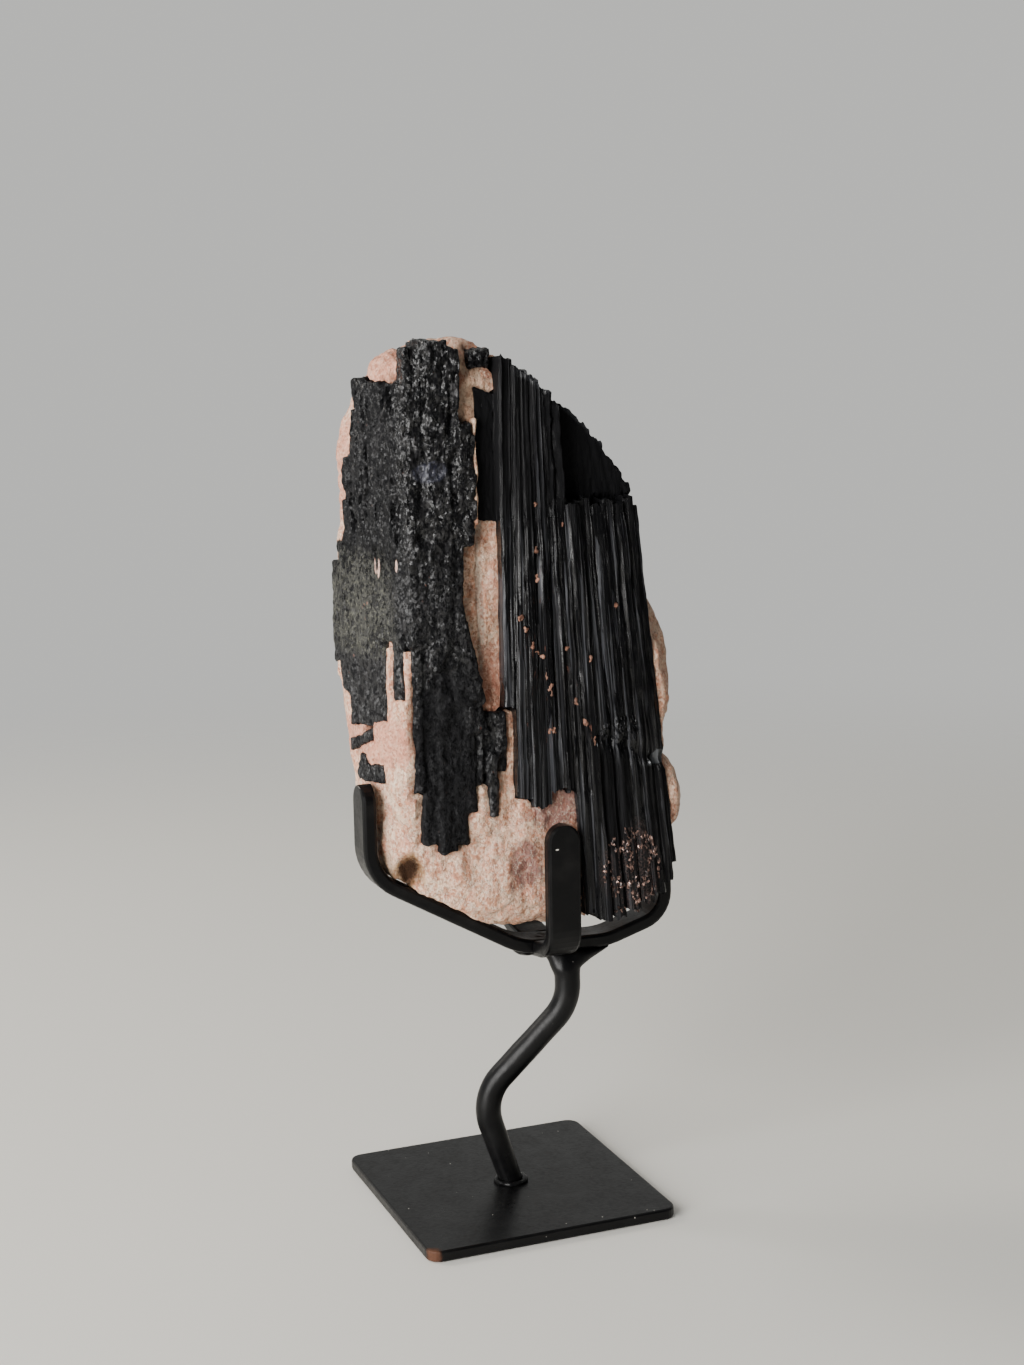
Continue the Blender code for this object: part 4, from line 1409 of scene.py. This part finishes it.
@dataclass(frozen=True)
class Studio:
    """A pale floor, soft light from the left and the photograph's camera."""

    place: tuple[float, float, float] = (-206.4, -534.7, 246.9)
    azimuth: float = -21.5
    pitch: float = 9.4
    roll: float = -1.04
    focal: float = 2052.0           # in the photograph's pixels
    picture_height: float = 1365.0
    sensor: float = 36.0
    floor_radius: float = 3000.0
    floor_fade: tuple[float, float] = (330.0, 1000.0)   # the floor melts into the air between these
    floor: Colour = colour(228, 226, 219)
    bright_air: Colour = colour(208, 208, 205)
    dim_air: Colour = colour(72, 73, 76)
    bright_side: tuple[float, float, float] = (-0.36, 0.93, 0.10)
    aim: float = 150.0              # height that the lamps face
    lamps: tuple[Lamp, ...] = (
        Lamp("window", (-760.0, -900.0, 400.0), (800.0, 900.0), 33.0, (1.0, 0.985, 0.965)),
        Lamp("sun", (-950.0, 420.0, 780.0), (320.0, 320.0), 6.0, (1.0, 0.94, 0.86)),
    )

    def sight(self, right: float, away: float, up: float) -> Vector:
        """A place given as the viewer sees it from the plate's centre.

        Args:
            right: How far to the right, in millimetres.
            away: How far away.
            up: How high.

        Returns:
            The place in metres.
        """
        turn = math.radians(self.azimuth)
        ahead = Vector((-math.sin(turn), math.cos(turn), 0))
        aside = Vector((math.cos(turn), math.sin(turn), 0))
        return (aside * right + ahead * away + Vector((0, 0, up))) * MM

    def build(self) -> None:
        """Floor, light and camera."""
        self.lay_floor()
        for lamp in self.lamps:
            self.hang(lamp)
        self.fill_air()
        self.set_camera()

    def lay_floor(self) -> None:
        """The pale floor."""
        bm = bmesh.new()
        bmesh.ops.create_circle(bm, cap_ends=True, segments=128, radius=self.floor_radius * MM)
        bmesh.ops.translate(bm, vec=(0, 0, -0.1 * MM), verts=bm.verts)
        mesh = meshed(bm, "floor")
        recipe = Recipe("floor_pale")
        recipe.shader.inputs["Base Color"].default_value = self.floor
        recipe.shader.inputs["Roughness"].default_value = 0.6
        reach = (recipe.x ** 2.0 + recipe.y ** 2.0) ** 0.5
        recipe.give_way(reach.step(*self.floor_fade), recipe.wire("ShaderNodeBsdfTransparent", {}, {}))
        mesh.materials.append(recipe.material)
        placed("floor", mesh)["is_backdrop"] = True

    def hang(self, lamp: Lamp) -> None:
        """Put a lamp in its place and turn it to the stone.

        Args:
            lamp: The lamp.
        """
        light = bpy.data.lights.new(lamp.name, "AREA")
        light.shape = "RECTANGLE"
        light.size, light.size_y = (length * MM for length in lamp.size)
        light.energy = lamp.power
        light.color = lamp.tone
        hung = placed(lamp.name, light)
        hung.location = self.sight(*lamp.where)
        way = Vector((0, 0, self.aim * MM)) - hung.location
        hung.rotation_euler = way.to_track_quat("-Z", "Y").to_euler()

    def fill_air(self) -> None:
        """Soft light from all round, brighter on the left and behind the stone."""
        world = bpy.data.worlds.new("air")
        world.use_nodes = True
        sheet = Sheet(world.node_tree)
        way = sheet.wire("ShaderNodeTexCoord", {}, {}, "Generated")
        towards = sheet.vectors("DOT_PRODUCT", way, self.bright_side, output="Value")
        shade = sheet.tint(self.dim_air, self.bright_air, towards.step(-0.75, 0.55))
        sheet.tree.links.new(shade.socket, world.node_tree.nodes["Background"].inputs["Color"])
        bpy.context.scene.world = world

    def set_camera(self) -> None:
        """The camera that took the photograph."""
        turn, pitch, roll = (math.radians(angle) for angle in (self.azimuth, self.pitch, self.roll))
        level = math.cos(pitch)
        ahead = Vector((-math.sin(turn) * level, math.cos(turn) * level, -math.sin(pitch)))
        right = Vector((math.cos(turn), math.sin(turn), 0))
        above = right.cross(ahead)
        tilted_right = right * math.cos(roll) + above * math.sin(roll)
        tilted_up = above * math.cos(roll) - right * math.sin(roll)
        lens = bpy.data.cameras.new("camera")
        lens.sensor_fit = "VERTICAL"
        lens.sensor_height = self.sensor
        lens.lens = self.focal / self.picture_height * self.sensor
        lens.clip_start = 10 * MM
        camera = placed("camera", lens)
        turned = Matrix((tilted_right, tilted_up, -ahead)).transposed().to_4x4()
        camera.matrix_world = Matrix.Translation(Vector(self.place) * MM) @ turned
        bpy.context.scene.camera = camera


def surface_of(obj: bpy.types.Object) -> BVHTree:
    """The surface of a finished piece.

    Args:
        obj: The piece.

    Returns:
        Its surface, in millimetres.
    """
    bm = bmesh.new()
    bm.from_mesh(obj.data)
    bmesh.ops.scale(bm, vec=(1 / MM, 1 / MM, 1 / MM), verts=bm.verts)
    return skin(bm)


def main() -> None:
    """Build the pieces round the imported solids."""
    logging.basicConfig(level=logging.INFO, format="%(message)s")
    noise.seed_set(NOISE_SEED)
    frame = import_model()
    shop = Workshop(frame["nodes"])
    IronStand(shop).build()
    FeldsparMatrix(shop).build()
    PittedBundle(shop).build()
    fan = Fan()
    finish = StriatedTourmaline(fan)
    right = StriatedBundle(shop, "tourmaline_right", "crystals_right", fan).build(finish)
    StriatedBundle(shop, "tourmaline_back", "crystals_back", Fan(most=0.0)).build(finish)
    ground = surface_of(right)
    Crumbs(shop, ground).build()
    Glints(shop, ground, "mica_plates", MicaFinish(), centre=(33.0, 97.5), half=(9.5, 13.0), count=560,
           size=(0.25, 0.85), seed=4, bare=0.06).build()
    Glints(shop, ground, "broken_faces", finish, centre=(30.0, 139.2), half=(6.0, 3.6), count=130,
           size=(0.4, 1.3), seed=9, bare=-0.2).build()
    Studio().build()


if __name__ == "__main__":
    main()
